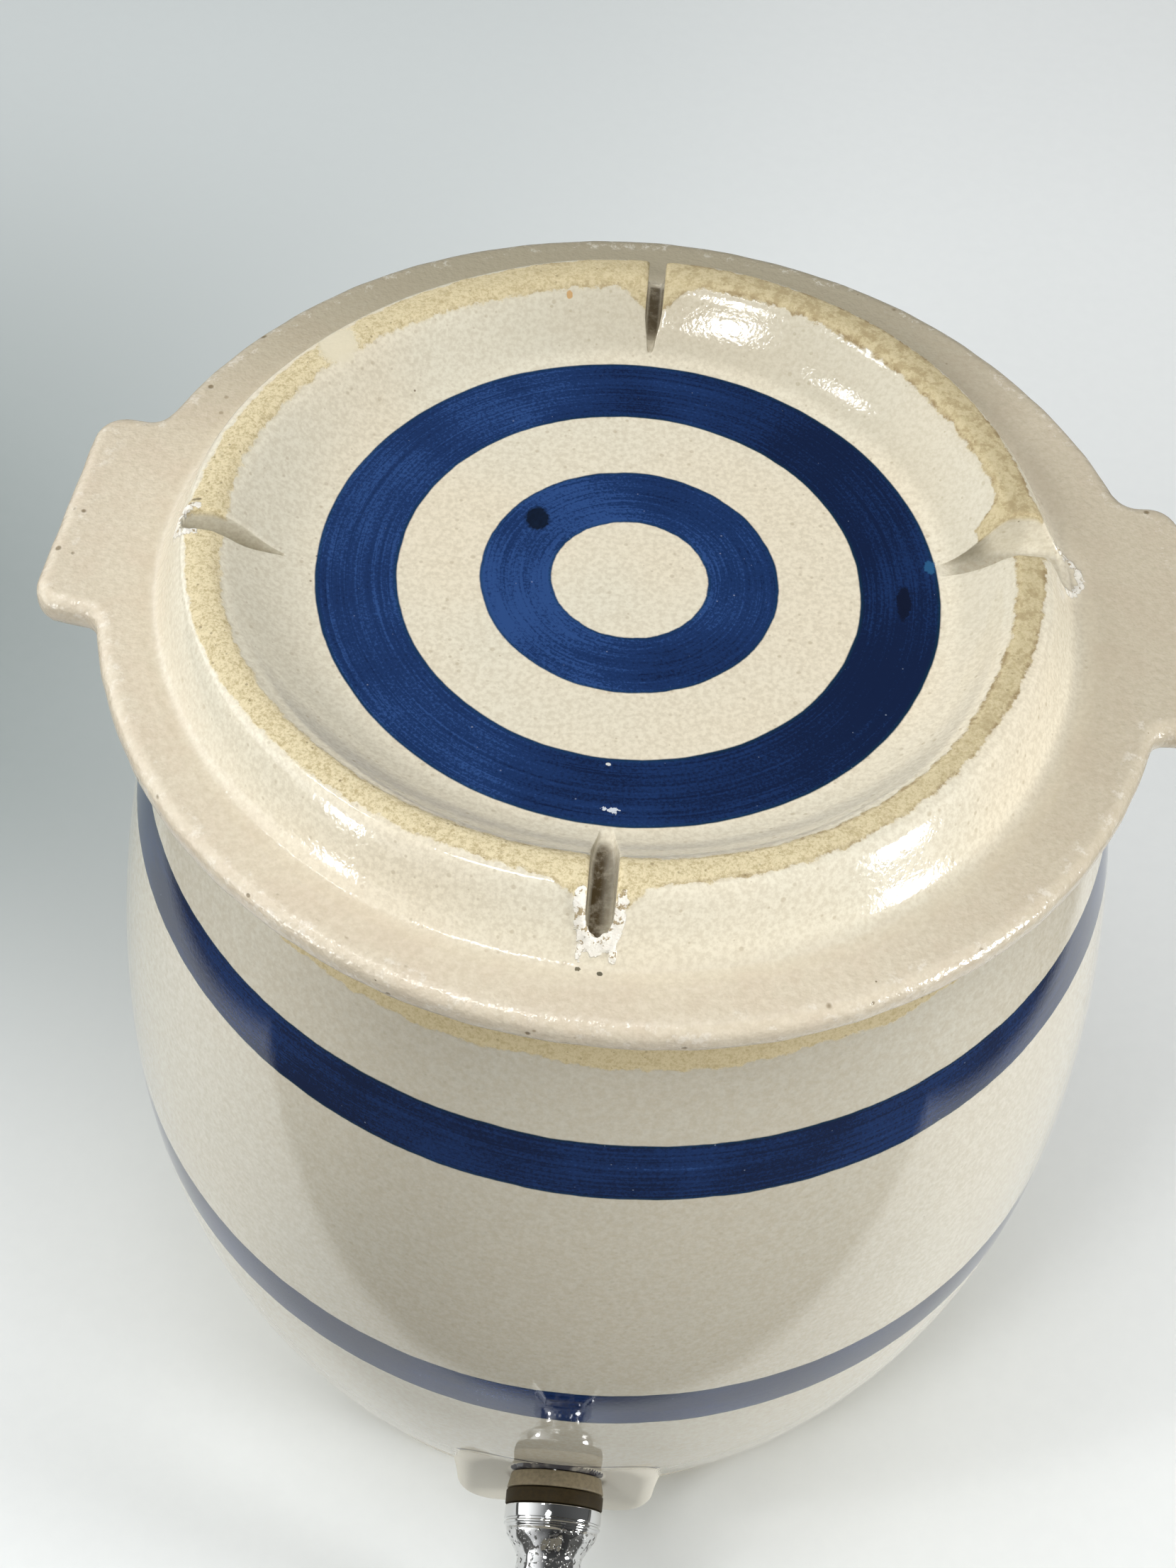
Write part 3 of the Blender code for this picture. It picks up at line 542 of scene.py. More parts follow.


# Glaze over the whole body, darker towards the front as painted shade, two cobalt bands by height, and bare
# clay at the rim and under the foot.
# The pad is bare where it stands ahead of the wall, and painted shade darkens the crease along the pad's top
# and round the washers' top.
def crockMaterial():
    material, shader = newMaterial("glazedCrock", {"IOR": 1.52})
    place, _, unit, height = axisCoordinates(0.0)
    glaze = grouped(glazeGroup, Vector=place)
    clay = grouped(clayGroup, Vector=place)
    inside = attributeValue("inside")
    outside = minus(1.0, inside)
    # Painted shade: the crock's glaze tint is darker than the lid's, partly a different glaze and partly
    # painted shade, and it darkens further towards the front as painted shade.
    front = ramp(unit["Y"], -0.70, -0.96)
    colour = mixColour(0.62, glaze["Color"], mixColour(front, crock["tint"], crock["frontShade"]))
    mottle = ramp(noise(place, 560.0, 4.0, 0.7), 0.34, 0.66, 0.0, 0.36)
    colour = mixColour(mottle, colour, glazeLook["faint"])
    bands = [(band, crock["bandPool"]) for band in crock["bands"]]
    colour, bandMask = paintBands(colour, place, unit, height, bands, outside, crock["brush"])
    ragged = waver(place, 240.0, 4.0, 0.7, 0.0042)
    slow = waver(brushVector(unit, height, crock["brush"][0], 20.0), 0.5, 1.0, 0.5, 0.0060)
    level = minus(height, ramp(unit["X"], 0.1, 0.95, 0.0, crock["bareRise"]))
    level = plus(level, plus(ragged, slow))
    start = mixValue(inside, crock["bareRim"], crock["bareInside"])
    bare = ramp(minus(level, start), -0.0004, 0.0004)
    foot = ramp(plus(height, ragged), 0.0035, 0.0025)
    bare = calc("MAXIMUM", bare, foot)
    colour = mixColour(bare, colour, mixColour(0.50, clay["Color"], clayLook["deep"]))
    padAhead = attributeValue("padAhead")
    padBare = ramp(padAhead, 0.00002, 0.00012)
    colour = mixColour(times(padBare, 0.85), colour, padLook["face"])
    broken = ramp(noise(place, 170.0, 2.0), 0.32, 0.50, 0.55, 1.0)
    # Painted shade in the crease at the pad's top and round the washers, broken up by noise.
    seamShade = times(ramp(attributeValue("seamShade"), 0.50, 0.80, 0.0, 0.92), broken)
    colour = mixColour(seamShade, colour, padLook["seamShade"])
    join(colour, shader.inputs["Base Color"])
    rough = mixValue(bandMask, crock["roughness"], 0.03)
    rough = plus(rough, times(noise(place, 60.0, 2.0), 0.02))
    rough = mixValue(bare, rough, 0.88)
    rough = mixValue(padBare, rough, 0.55)
    join(rough, shader.inputs["Roughness"])
    peel = grouped(peelGroup, Vector=place, Scale=700.0)["Height"]
    grain = mixValue(bare, peel, times(clay["Height"], 7.0))
    addBump(shader, grain, crock["peel"])
    return material


crockShape, crockMarks = crockPoints()
crockPiece = gridPiece("crockBody", crockShape, attributes=crockMarks)
finishPiece(crockPiece, "cooler", crockMaterial(), ["crock"])
print("crock made,", len(crockPiece.data.polygons), "faces")


lid = {
    "centreX": -0.0044, "underside": 0.2765, "thickness": 0.0090, "edge": 0.0036,
    "radius": 0.1280, "shiftX": 0.0014, "shiftY": 0.0017,
    "dish": 0.2893, "crest": 0.3020, "crestInner": 0.0931, "crestOuter": 0.0996,
    "ringInnerFoot": 0.0745, "ringOuterFoot": 0.1110, "crown": 0.00035,
    "skirtOuter": 0.0955, "skirtInner": 0.0875, "skirtDepth": 0.0120, "skirtRounding": 0.0030,
    "slopePower": 1.75, "lipRounding": 0.0022,
    "earCorner": 0.0080, "earFillet": 0.0050, "ringWaves": ((0.0023, 168), (0.0013, 65), (0.0012, 197)),
    "rings": ((0.0187, 0.0357), (0.0553, 0.0746)), "ringPool": (-1.1, 0.0),
    "brush": (4.0, 0.0009, 1.5, 1700.0),
    "roughness": 0.10, "peel": 0.000018,
}
ears = {
    "left": {"angle": math.radians(175.2), "width": 0.0655, "reach": 0.13845},
    "right": {"angle": math.radians(4.1), "width": 0.0736, "reach": 0.13865},
}
notches = {
    "front": {"angle": math.radians(270.0), "width": 0.0064, "inner": 0.0742, "outer": 0.1056,
              "burr": 0.0026, "floorEnd": 0.2868, "notchShade": 1.0, "shadeFrom": 0.0,
              "tip": 0.50, "taper": 0.0120, "prongs": 0.0020, "lit": 1},
    "back": {"angle": math.radians(90.0), "width": 0.0044, "inner": 0.0790, "outer": 0.1090,
             "burr": 0.0004, "floorEnd": 0.2866, "notchShade": 0.9, "shadeFrom": 0.0040,
             "tip": 0.40, "taper": 0.0100, "prongs": 0.0, "lit": 0},
    "left": {"angle": math.radians(183.1), "width": 0.0060, "inner": 0.0815, "outer": 0.1060,
             "burr": 0.0013, "floorEnd": 0.2866, "notchShade": 0.22, "shadeFrom": 0.0,
             "tip": 0.15, "taper": 0.0120, "prongs": 0.0, "lit": 0},
    "right": {"angle": math.radians(9.4), "width": 0.0134, "inner": 0.0730, "outer": 0.1095,
              "burr": 0.0013, "floorEnd": 0.2866, "notchShade": 0.30, "shadeFrom": 0.0,
              "tip": 0.26, "taper": 0.0230, "prongs": 0.0, "lit": 0},
}
# Where the columns lie beside a notch's wall and on it, in millimetres from the wall.
notchColumns = {"outside": (0.08, 0.2, 0.38, 0.62, 0.95, 1.35, 1.9, 2.6, 3.4, 4.3, 5.3, 6.4, 7.6),
                "wall": (0.0, 0.10, 0.20, 0.31, 0.43)}
# How far the glaze is wiped away inwards and outwards beside each notch, and how far along the ring.
wipedGlaze = {"front": (0.0006, 0.0040, 0.0062), "back": (0.0044, 0.0012, 0.0045),
              "left": (0.0006, 0.0012, 0.0050), "right": (0.0070, 0.0020, 0.0042)}
# The distance from the lid's centre at which the widths and columns of the notches are laid out.
notchMiddle = 0.0940


# The way from an angle to a turn, between minus and plus half a turn.
def angleFrom(turn, angle):
    return (turn - angle + np.pi) % (2 * np.pi) - np.pi


# The flange is a circle whose centre lies a little off the painted rings' centre, to the back right.
def circleRadius(turn):
    toward = lid["shiftX"] * np.cos(turn) + lid["shiftY"] * np.sin(turn)
    return toward + np.sqrt(lid["radius"] ** 2 - lid["shiftX"] ** 2 - lid["shiftY"] ** 2 + toward ** 2)


# The lid's outline by angle: that circle, and where an ear is, a rounded rectangle whose corners are arcs
# and whose root meets the circle in hollow arcs. Each distance is where a ray meets that line or arc.
def outlineRadius(turn):
    radius = circleRadius(turn) - 0.00014 * (1 + np.sin(3 * turn + 0.6)) - 0.00010 * (1 + np.sin(11 * turn))
    for ear in ears.values():
        delta = angleFrom(turn, ear["angle"])
        phi = np.abs(delta)
        half, reach, corner, fillet = ear["width"] / 2, ear["reach"], lid["earCorner"], lid["earFillet"]
        rootAngle = math.asin((half + fillet) / lid["radius"])
        circle = circleRadius(ear["angle"] + np.where(delta > 0, rootAngle, -rootAngle))
        rootX = np.sqrt((circle + fillet) ** 2 - (half + fillet) ** 2)
        cornerX, cornerY = reach - corner, half - corner
        across = cornerX * np.sin(phi) - cornerY * np.cos(phi)
        along = cornerX * np.cos(phi) + cornerY * np.sin(phi)
        cornerRadius = along + np.sqrt(np.maximum(corner ** 2 - across ** 2, 0))
        rootAcross = rootX * np.sin(phi) - (half + fillet) * np.cos(phi)
        rootAlong = rootX * np.cos(phi) + (half + fillet) * np.sin(phi)
        rootRadius = rootAlong - np.sqrt(np.maximum(fillet ** 2 - rootAcross ** 2, 0))
        lineEnd = np.arctan2(half, rootX)
        shape = np.where(phi < math.atan2(cornerY, reach), reach / np.cos(phi), cornerRadius)
        shape = np.where(phi > math.atan2(half, cornerX), half / np.maximum(np.sin(phi), 1e-3), shape)
        shape = np.where(phi > lineEnd, rootRadius, shape)
        radius = np.where(phi < np.arctan2(half + fillet, rootX), np.maximum(shape, radius), radius)
    return radius - 0.00007 * (1 + np.sin(47 * turn)) - 0.00004 * (1 + np.sin(83 * turn + 1))


# Column angles: even, but closer where the outline's radius changes fast and at the walls of the notches.
def lidTurn():
    fine = evenTurn(14400)
    climb = np.abs(np.diff(outlineRadius(fine), append=outlineRadius(fine[:1])))
    measure = np.cumsum(math.tau / 14400 / math.radians(1.2) + climb / 0.0007)
    turn = np.interp(np.arange(1, int(measure[-1])), measure, fine)
    keep = np.ones(len(turn), bool)
    extra = []
    for notch in notches.values():
        half = notch["width"] / 2
        outside = half + np.array(notchColumns["outside"]) / 1000
        wall = half - np.array(notchColumns["wall"]) / 1000
        floor = np.linspace(0, half - 0.0008, 4 + int(half / 0.0015))
        across = np.concatenate((-outside[::-1], -wall, -floor[:0:-1], floor, wall[::-1], outside))
        extra.append(notch["angle"] + across / notchMiddle)
        keep &= np.abs(angleFrom(turn, notch["angle"])) > (half + 0.0082) / notchMiddle
    return np.unique(np.round(np.concatenate([turn[keep]] + extra) % (2 * np.pi), 6))


# How much of its full width a notch has at a distance from the lid's centre.
def notchShare(notch, distance):
    return notch["tip"] + (1 - notch["tip"]) * rise(distance, notch["inner"], notch["inner"] + notch["taper"])


# Near a notch the columns follow its walls over the ring, parallel or tapered.
def warpedTurn(radius, turn):
    angles = np.broadcast_to(turn, (len(radius), len(turn))).copy()
    window = (rise(radius, 0.058, 0.0720) * (1 - rise(radius, 0.1135, 0.1190)))[:, None]
    for notch in notches.values():
        delta = angleFrom(turn, notch["angle"])
        half = notch["width"] / 2
        share = notchShare(notch, radius[:, None])
        weight = 1 - rise(np.abs(delta) * notchMiddle, half + 0.0040, half + 0.0200)
        stretch = 1 + (notchMiddle / np.maximum(radius[:, None], 0.05) * share - 1) * weight * window
        angles += delta * (stretch - 1) * (weight > 0)
    return angles


# How far the ring lies outside its round line: three waves round the lid, as a hand leaves them.
def ringShift(turn):
    return sum(size * np.cos((order + 1) * turn - math.radians(phase))
               for order, (size, phase) in enumerate(lid["ringWaves"]))


# The distance that a point would have on a round ring: the slopes stretch or shrink to follow the crest.
def ringPlace(radius, turn):
    shift = ringShift(turn)
    foot, crestIn, crestOut = lid["ringInnerFoot"], lid["crestInner"], lid["crestOuter"]
    inner = foot + (radius - foot) * (crestIn - foot) / (crestIn + shift - foot)
    run = lid["ringOuterFoot"] - crestOut
    outer = crestOut + (radius - crestOut - shift) * run / (run - 0.5 * shift)
    outer = np.where(radius < crestOut + shift, radius - shift, outer)
    place = np.where(radius < crestIn + shift, inner, outer)
    return np.where(radius < foot, radius, place)


# The top by radius: level dish, a rise that steepens as a power of the distance up to the rounded lip of
# the crowned crest, and an S-shaped fall to the flange.
def ringLevel(radius, turn):
    flange = lid["underside"] + lid["thickness"]
    wobble = 0.00022 * np.sin(2 * turn + 0.5) + 0.00016 * np.sin(5 * turn + 2) + 0.00008 * np.sin(13 * turn)
    place = ringPlace(radius, turn) + wobble
    crest = lid["crest"] - 0.00012 * (1 + np.sin(3 * turn + 1)) - 0.00006 * (1 + np.sin(17 * turn))
    climb = (place - lid["ringInnerFoot"]) / (lid["crestInner"] - lid["ringInnerFoot"])
    climb = np.clip(climb, 0, 1.3) ** lid["slopePower"]
    down = (place - lid["crestOuter"]) / (lid["ringOuterFoot"] - lid["crestOuter"])
    down = (1 + np.cos(np.pi * np.clip(down, 0, 1))) / 2
    middle = (lid["crestInner"] + lid["crestOuter"]) / 2
    crown = lid["crown"] * np.clip((place - middle) / (lid["crestOuter"] - middle), -1.2, 1.2) ** 2
    inside = softMin(lid["dish"] + (crest - lid["dish"]) * climb, crest, lid["lipRounding"])
    level = np.where(place < middle, inside, flange + (crest - flange) * down)
    onCrest = rise(place, 0.0905, 0.0931) * (1 - rise(place, 0.0996, 0.1015))
    level = level - crown * onCrest
    groove = 0.00030 * np.exp(-((place - lid["ringOuterFoot"] - 0.0006) / 0.0022) ** 2)
    ripple = 0.00006 * np.sin(place * 2100) * rise(place, 0.1125, 0.1150)
    return level - groove + ripple


# Each notch is a slot with a thin inner end and a round outer one. Inside it the level drops to a floor
# that slopes outwards. Its lips are rounded, and pushed-up clay stands round its outer end as a burr.
def cutNotches(x, y, level):
    inNotch, notchShade, burrMark = np.zeros_like(level), np.zeros_like(level), np.zeros_like(level)
    for notch in notches.values():
        along = x * math.cos(notch["angle"]) + y * math.sin(notch["angle"])
        across = y * math.cos(notch["angle"]) - x * math.sin(notch["angle"])
        half = notch["width"] / 2 * notchShare(notch, along)
        start, end = notch["inner"] + 0.0010, notch["outer"] - notch["width"] / 2
        beyond = np.maximum(np.maximum(start - along, along - end), 0)
        distance = np.hypot(beyond, across) - half
        share = np.clip((along - notch["inner"]) / (notch["outer"] - notch["inner"]), 0, 1)
        floor = lid["dish"] + 0.0001 + (notch["floorEnd"] - lid["dish"]) * share
        floor = floor + 0.00010 * np.sin(along * 700 + across * 300)
        floor = floor + 0.0006 * (across / (notch["width"] / 2)) ** 2
        depth = np.maximum(level - floor, 0)
        cut = np.clip(-distance / 0.00043, 0, 1)
        lip = 0.055 * np.exp(-np.maximum(distance, 0) / 0.00042) * rise(depth, 0.0, 0.004)
        nearEnd = rise(along, notch["outer"] - 0.0065, notch["outer"] - 0.0035)
        uneven = 0.60 + 0.40 * np.sin(across * 1500 + along * 1100) * np.sin(along * 2300 + 1)
        burr = notch["burr"] * np.exp(-((distance - 0.0012) / 0.00110) ** 2) * nearEnd
        ends = rise(along, notch["outer"] - 0.004, notch["outer"])
        ends = ends * (1 - rise(along, notch["outer"] + 0.0020, notch["outer"] + 0.0042))
        beside = np.abs(across) - notch["width"] / 2 - 0.0004
        prongs = notch["prongs"] * np.exp(-(beside / 0.0008) ** 2) * ends
        burr = np.maximum(burr, prongs) * uneven
        level = np.minimum(level - depth * np.maximum(cut, lip) + burr, lid["crest"] - 0.00002)
        inside = cut * rise(depth, 0.0006, 0.0020)
        inNotch = np.maximum(inNotch, inside)
        # Painted shadow on the notch's floor, lighter across towards its lit wall where lit is set.
        shaded = 1 - 0.5 * notch["lit"] * rise(across, -0.0006, 0.0024)
        foot = rise(-distance, 0.0002, 0.0012) * rise(depth, 0.0004, 0.0030) * shaded
        shadeStart = notch["inner"] + notch["shadeFrom"] - 0.001
        foot = foot * rise(along, shadeStart, notch["inner"] + notch["shadeFrom"] * 2.5 + 0.001)
        notchShade = np.maximum(notchShade, notch["notchShade"] * inside * foot)
        burrMark = np.maximum(burrMark, np.clip(burr / 0.0007, 0, 1) * (1 - inside))
    return level, {"inNotch": inNotch, "notchShade": notchShade, "burr": burrMark}


# Distance inside the bare band on the crest, wider where the glaze was wiped away beside the notches.
def bareBand(x, y, radius, turn):
    place = ringPlace(radius, turn)
    wide = np.exp(-(angleFrom(turn, math.radians(75)) / 1.1) ** 2)
    thin = np.exp(-(angleFrom(turn, math.radians(-38)) / 0.50) ** 2)
    inner = lid["crestInner"] - 0.0002 - 0.0005 * wide + 0.0009 * thin + 0.0004 * np.sin(5 * turn + 1.1)
    outer = lid["crestOuter"] + 0.0003 + 0.0012 * wide - 0.0008 * thin + 0.0004 * np.sin(4 * turn + 0.2)
    for name, (inward, outward, width) in wipedGlaze.items():
        angle = notches[name]["angle"]
        across = y * math.cos(angle) - x * math.sin(angle)
        nearby = np.exp(-(np.maximum(np.abs(across) - notches[name]["width"] / 2, 0) / width) ** 2)
        facing = (np.cos(turn - angle) > 0.5) * (across > 0 if name == "right" else 1)
        inner = inner - inward * nearby * facing
        outer = outer + outward * nearby * facing
    return np.minimum(place - inner, outer - place)


def lidPoints():
    turn = lidTurn()
    flange = lid["underside"] + lid["thickness"]
    radii = np.concatenate(([0], np.linspace(0.0045, 0.0725, 13), np.linspace(0.0740, 0.0925, 24),
                            np.linspace(0.0930, 0.1030, 16), np.linspace(0.1036, 0.1160, 21)))
    angles = warpedTurn(radii, turn)
    x, y = radii[:, None] * np.cos(angles), radii[:, None] * np.sin(angles)
    level, notchMarks = cutNotches(x, y, ringLevel(radii[:, None] + 0 * angles, angles))
    band = bareBand(x, y, radii[:, None] + 0 * angles, angles)
    top = np.stack((x, y, level), -1)

    outline = [outlineRadius(angle)[:, None] * np.stack((np.cos(angle), np.sin(angle)), -1)
               for angle in (turn, turn + 0.0006, turn - 0.0006)]
    edgeXY, tangent = outline[0], outline[1] - outline[2]
    normal = np.stack((tangent[:, 1], -tangent[:, 0]), -1) / np.linalg.norm(tangent, axis=1)[:, None]
    curve = lid["edge"]
    rows = []
    inner = top[-1]
    edgeStart = np.concatenate((edgeXY - normal * curve, np.full((len(turn), 1), flange)), 1)
    for share in np.linspace(0, 1, 9)[1:-1]:
        row = inner + (edgeStart - inner) * share
        row[:, 2] = inner[:, 2] + (flange - inner[:, 2]) * min(1, share * 3)
        row[:, 2] += 0.00006 * np.sin(row[:, 0] * 900 + 5) * np.sin(row[:, 1] * 700)
        rows.append(row)
    halves = ((flange, -1, np.linspace(90, 0, 7)), (lid["underside"], 1, np.linspace(0, -90, 6)))
    for base, side, steps in halves:
        for angle in np.radians(steps):
            rim = edgeXY - normal * curve * (1 - math.cos(angle))
            height = base + side * curve * (1 + side * math.sin(angle)) + 0 * turn
            rows.append(np.concatenate((rim, height[:, None]), 1))
    bottomEdge = rows[-1]
    skirt = filleted([(lid["skirtOuter"], 0, 0),
                      (lid["skirtOuter"], -lid["skirtDepth"], lid["skirtRounding"]),
                      (lid["skirtInner"], -lid["skirtDepth"], lid["skirtRounding"]),
                      (lid["skirtInner"], 0, 0), (0.060, 0, 0), (0.030, 0, 0), (0, 0, 0)])
    skirt[:, 1] += lid["underside"]
    skirtRows = turnedPoints(skirt, turn)
    for share in np.linspace(0, 1, 7)[1:-1]:
        rows.append(bottomEdge + (skirtRows[0] - bottomEdge) * share)
    points = np.concatenate((top, np.array(rows), skirtRows))
    marks = {"bareBand": np.full(points.shape[:2], -0.02)}
    marks.update({key: np.zeros(points.shape[:2]) for key in ("inNotch", "notchShade", "burr", "brim")})
    marks["bareBand"][:len(top)] = band
    for key, values in notchMarks.items():
        marks[key][:len(top)] = values
    marks["brim"][len(top) + 6:len(top) + 15] = 1
    points[..., 0] += lid["centreX"]
    return points, marks


# Blemishes in the glaze by distance from the lid's centre and angle: colour, half sizes and raggedness.
blemishes = {
    "thickCobaltSpot": (0.0291, 144.1, (0.0033, 0.0045, 0.005), 0.5, (0.003, 0.006, 0.012, 1)),
    "thickCobaltStreak": (0.0657, 0.8, (0.0019, 0.0062, 0.003), 0.9, (0.004, 0.007, 0.022, 1)),
    "paleCobaltPool": (0.0732, 10.4, (0.0016, 0.0024, 0.003), 1.6, (0.022, 0.095, 0.210, 1)),
    "whiteChip": (0.0702, 269.9, (0.0017, 0.0008, 0.002), 5.5, (0.62, 0.66, 0.70, 1)),
    "crestPit": (0.1030, 179.6, (0.0012, 0.0005, 0.003), 2.0, (0.20, 0.16, 0.09, 1)),
    "smallChip": (0.0571, 269.0, (0.0007, 0.0005, 0.002), 1.5, (0.70, 0.70, 0.66, 1)),
    "orangeSpot": (0.0905, 104.0, (0.0009, 0.0009, 0.004), 0.8, (0.50, 0.30, 0.12, 1)),
    "glazedPatch": (0.0972, 143.0, (0.0055, 0.0075, 0.006), 0.9, (0.68, 0.62, 0.47, 1)),
    "pinholeLeft": (0.1106, 268.1, (0.0007, 0.0005, 0.003), 2.0, (0.09, 0.075, 0.04, 1)),
    "pinholeRight": (0.1112, 270.6, (0.0007, 0.0006, 0.003), 1.0, (0.05, 0.045, 0.025, 1)),
}
lidTint = {"flange": (0.630, 0.555, 0.435, 1), "rearShade": (0.295, 0.266, 0.190, 1),
           "pink": (0.605, 0.515, 0.400, 1), "notchShade": (0.058, 0.036, 0.009, 1),
           "chip": (0.16, 0.115, 0.055, 1), "crestShade": (0.42, 0.35, 0.20, 1),
           "crestEdge": (0.24, 0.17, 0.08, 1), "burr": (0.82, 0.79, 0.72, 1),
           "creviceShade": (0.34, 0.26, 0.14, 1), "speck": (0.20, 0.14, 0.07, 1)}


# Glaze over the whole lid, with painted shade on the flange's back and right and on the ring's back slope,
# two cobalt rings by radius, bare clay on the crest and under the lid with painted shade at its back and
# right, painted shadow on the notches' floors, burrs of white glaze lumps with painted shade between them, a
# brim whitened by wear and a painted highlight, small chips along the brim, and the blemishes on top.
def lidMaterial():
    material, shader = newMaterial("glazedLid", {"IOR": 1.52})
    place, radius, unit, height = axisCoordinates(lid["centreX"])
    glaze = grouped(glazeGroup, Vector=place)
    clay = grouped(clayGroup, Vector=place)
    flange = ramp(radius, 0.1060, 0.1160)
    colour = mixColour(times(flange, 0.72), glaze["Color"], lidTint["flange"])
    mottle = ramp(noise(place, 95.0, 3.0, 0.6), 0.40, 0.66, 0.0, 0.50)
    colour = mixColour(times(flange, mottle), colour, lidTint["pink"])
    fine = ramp(noise(place, 560.0, 4.0, 0.7), 0.34, 0.66, 0.0, 0.30)
    colour = mixColour(times(flange, fine), colour, glazeLook["faint"])
    grit = grouped(specksGroup, Vector=place, Scale=170.0, Share=0.22, Size=0.11)["Mask"]
    colour = mixColour(times(grit, times(flange, 0.6)), colour, lidTint["speck"])
    # Painted shade: the flange grows darker towards the back and the right, and the ring's slope is darker
    # where it faces back and right.
    rearShadeMask = ramp(minus(unit["Y"], times(unit["X"], 0.1)), 0.2, 1.05, 0.0, 0.9)
    rearShadeMask = calc("MAXIMUM", rearShadeMask, ramp(unit["X"], 0.4, 1.0, 0.0, 0.30))
    colour = mixColour(times(flange, rearShadeMask), colour, lidTint["rearShade"])
    facing = plus(times(unit["Y"], 0.85), times(unit["X"], 0.72))
    onSlope = times(ramp(radius, 0.0760, 0.0810), ramp(radius, 0.0990, 0.0940))
    colour = mixColour(times(onSlope, ramp(facing, 0.15, 0.90, 0.0, 0.36)), colour, lidTint["rearShade"])
    onTop = ramp(height, lid["underside"] + 0.004, lid["underside"] + 0.006)
    # The rings' paint is deeper towards the right and lighter towards the left.
    pool = ramp(unit["X"], -1.0, 1.0, -0.5, 1.1)
    bands = [(ring, plus(pool, extra)) for ring, extra in zip(lid["rings"], lid["ringPool"])]
    colour, bandMask = paintBands(colour, place, unit, radius, bands, onTop, lid["brush"])
    ragged = waver(place, 260.0, 4.0, 0.72, 0.0040)
    bare = ramp(plus(attributeValue("bareBand"), ragged), -0.0004, 0.0003)
    notch = ramp(attributeValue("inNotch"), 0.03, 0.22)
    bare = times(bare, minus(1.0, notch))
    under = ramp(plus(height, times(ragged, 0.5)),
                 lid["underside"] + 0.0020, lid["underside"] + 0.0008)
    bare = calc("MAXIMUM", bare, under)
    # Painted shade: the crest's bare clay is darker towards the back and the right, and its stains show more
    # strongly there.
    shade = plus(times(unit["Y"], 0.55), times(unit["X"], 0.80))
    clayTone = mixColour(ramp(shade, -0.7, 1.0, 0.0, 0.62), clay["Color"], lidTint["crestShade"])
    stains = ramp(noise(place, 330.0, 4.0, 0.75), 0.45, 0.60)
    clayTone = mixColour(times(stains, ramp(shade, -0.2, 1.0, 0.0, 0.65)), clayTone, clayLook["stain"])
    rim = times(ramp(attributeValue("bareBand"), 0.0011, 0.0002), ramp(unit["X"], -0.9, 0.9, 0.10, 0.75))
    clayTone = mixColour(times(rim, ramp(stains, 0.0, 1.0, 0.35, 1.0)), clayTone, lidTint["crestEdge"])
    colour = mixColour(bare, colour, clayTone)
    # Painted shadow on the floors of the notches.
    notchShadow = times(attributeValue("notchShade"), ramp(noise(place, 300.0, 4.0, 0.7), 0.25, 0.55, 0.60, 1.0))
    colour = mixColour(notchShadow, colour, lidTint["notchShade"])
    # The burrs are white glaze lumps with painted shade in the crevices between them.
    lumps = noise(place, 620.0, 3.0, 0.65)
    burr = plus(attributeValue("burr"), times(minus(lumps, 0.5), 1.5))
    burr = times(ramp(burr, 0.50, 0.66), ramp(attributeValue("burr"), 0.02, 0.2))
    burrWithCreviceShade = mixColour(ramp(lumps, 0.47, 0.39), lidTint["burr"], lidTint["creviceShade"])
    colour = mixColour(times(burr, 0.9), colour, burrWithCreviceShade)
    brim = attributeValue("brim")
    # The brim is whitened in patches: partly wear, partly a painted highlight along the edge.
    wearAndSheen = times(brim, ramp(noise(place, 260.0, 4.0, 0.75), 0.54, 0.66, 0.0, 0.34))
    colour = mixColour(wearAndSheen, colour, lidTint["burr"])
    chips = grouped(specksGroup, Vector=place, Scale=300.0, Share=0.20, Size=0.26)["Mask"]
    chips = times(chips, brim)
    colour = mixColour(times(chips, 0.8), colour, lidTint["chip"])
    for name, (distance, angle, size, raggedness, tint) in blemishes.items():
        turn = math.radians(angle)
        centre = (distance * math.cos(turn), distance * math.sin(turn), lid["dish"])
        if distance > lid["ringInnerFoot"]:
            centre = centre[:2] + (float(ringLevel(np.array([distance]), np.array([turn]))[0]),)
        mask = grouped(blemishGroup, Vector=place, Centre=centre, Size=size, Ragged=raggedness)["Mask"]
        colour = mixColour(times(mask, 0.9), colour, tint)
        if name == "glazedPatch":
            bare = times(bare, minus(1.0, mask))
    join(colour, shader.inputs["Base Color"])
    rough = mixValue(flange, lid["roughness"], 0.20)
    rough = mixValue(bandMask, rough, 0.10)
    rough = mixValue(calc("MAXIMUM", bare, times(attributeValue("notchShade"), 0.7)), rough, 0.88)
    rough = mixValue(burr, rough, 0.06)
    join(rough, shader.inputs["Roughness"])
    peel = grouped(peelGroup, Vector=place, Scale=620.0)["Height"]
    slope = ramp(radius, 0.0760, 0.0840)
    peel = times(peel, mixValue(flange, mixValue(slope, 2.0, 4.0), 13.0))
    grain = mixValue(bare, peel, times(clay["Height"], 7.0))
    grain = minus(grain, times(chips, 8.0))
    grain = mixValue(burr, grain, times(noise(place, 950.0, 3.0, 0.6), 34.0))
    addBump(shader, grain, lid["peel"])
    return material


lidShape, lidMarks = lidPoints()
lidPiece = gridPiece("lidBody", lidShape, attributes=lidMarks)
finishPiece(lidPiece, "lid", lidMaterial(), ["lid"])
print("lid made,", len(lidPiece.data.polygons), "faces")


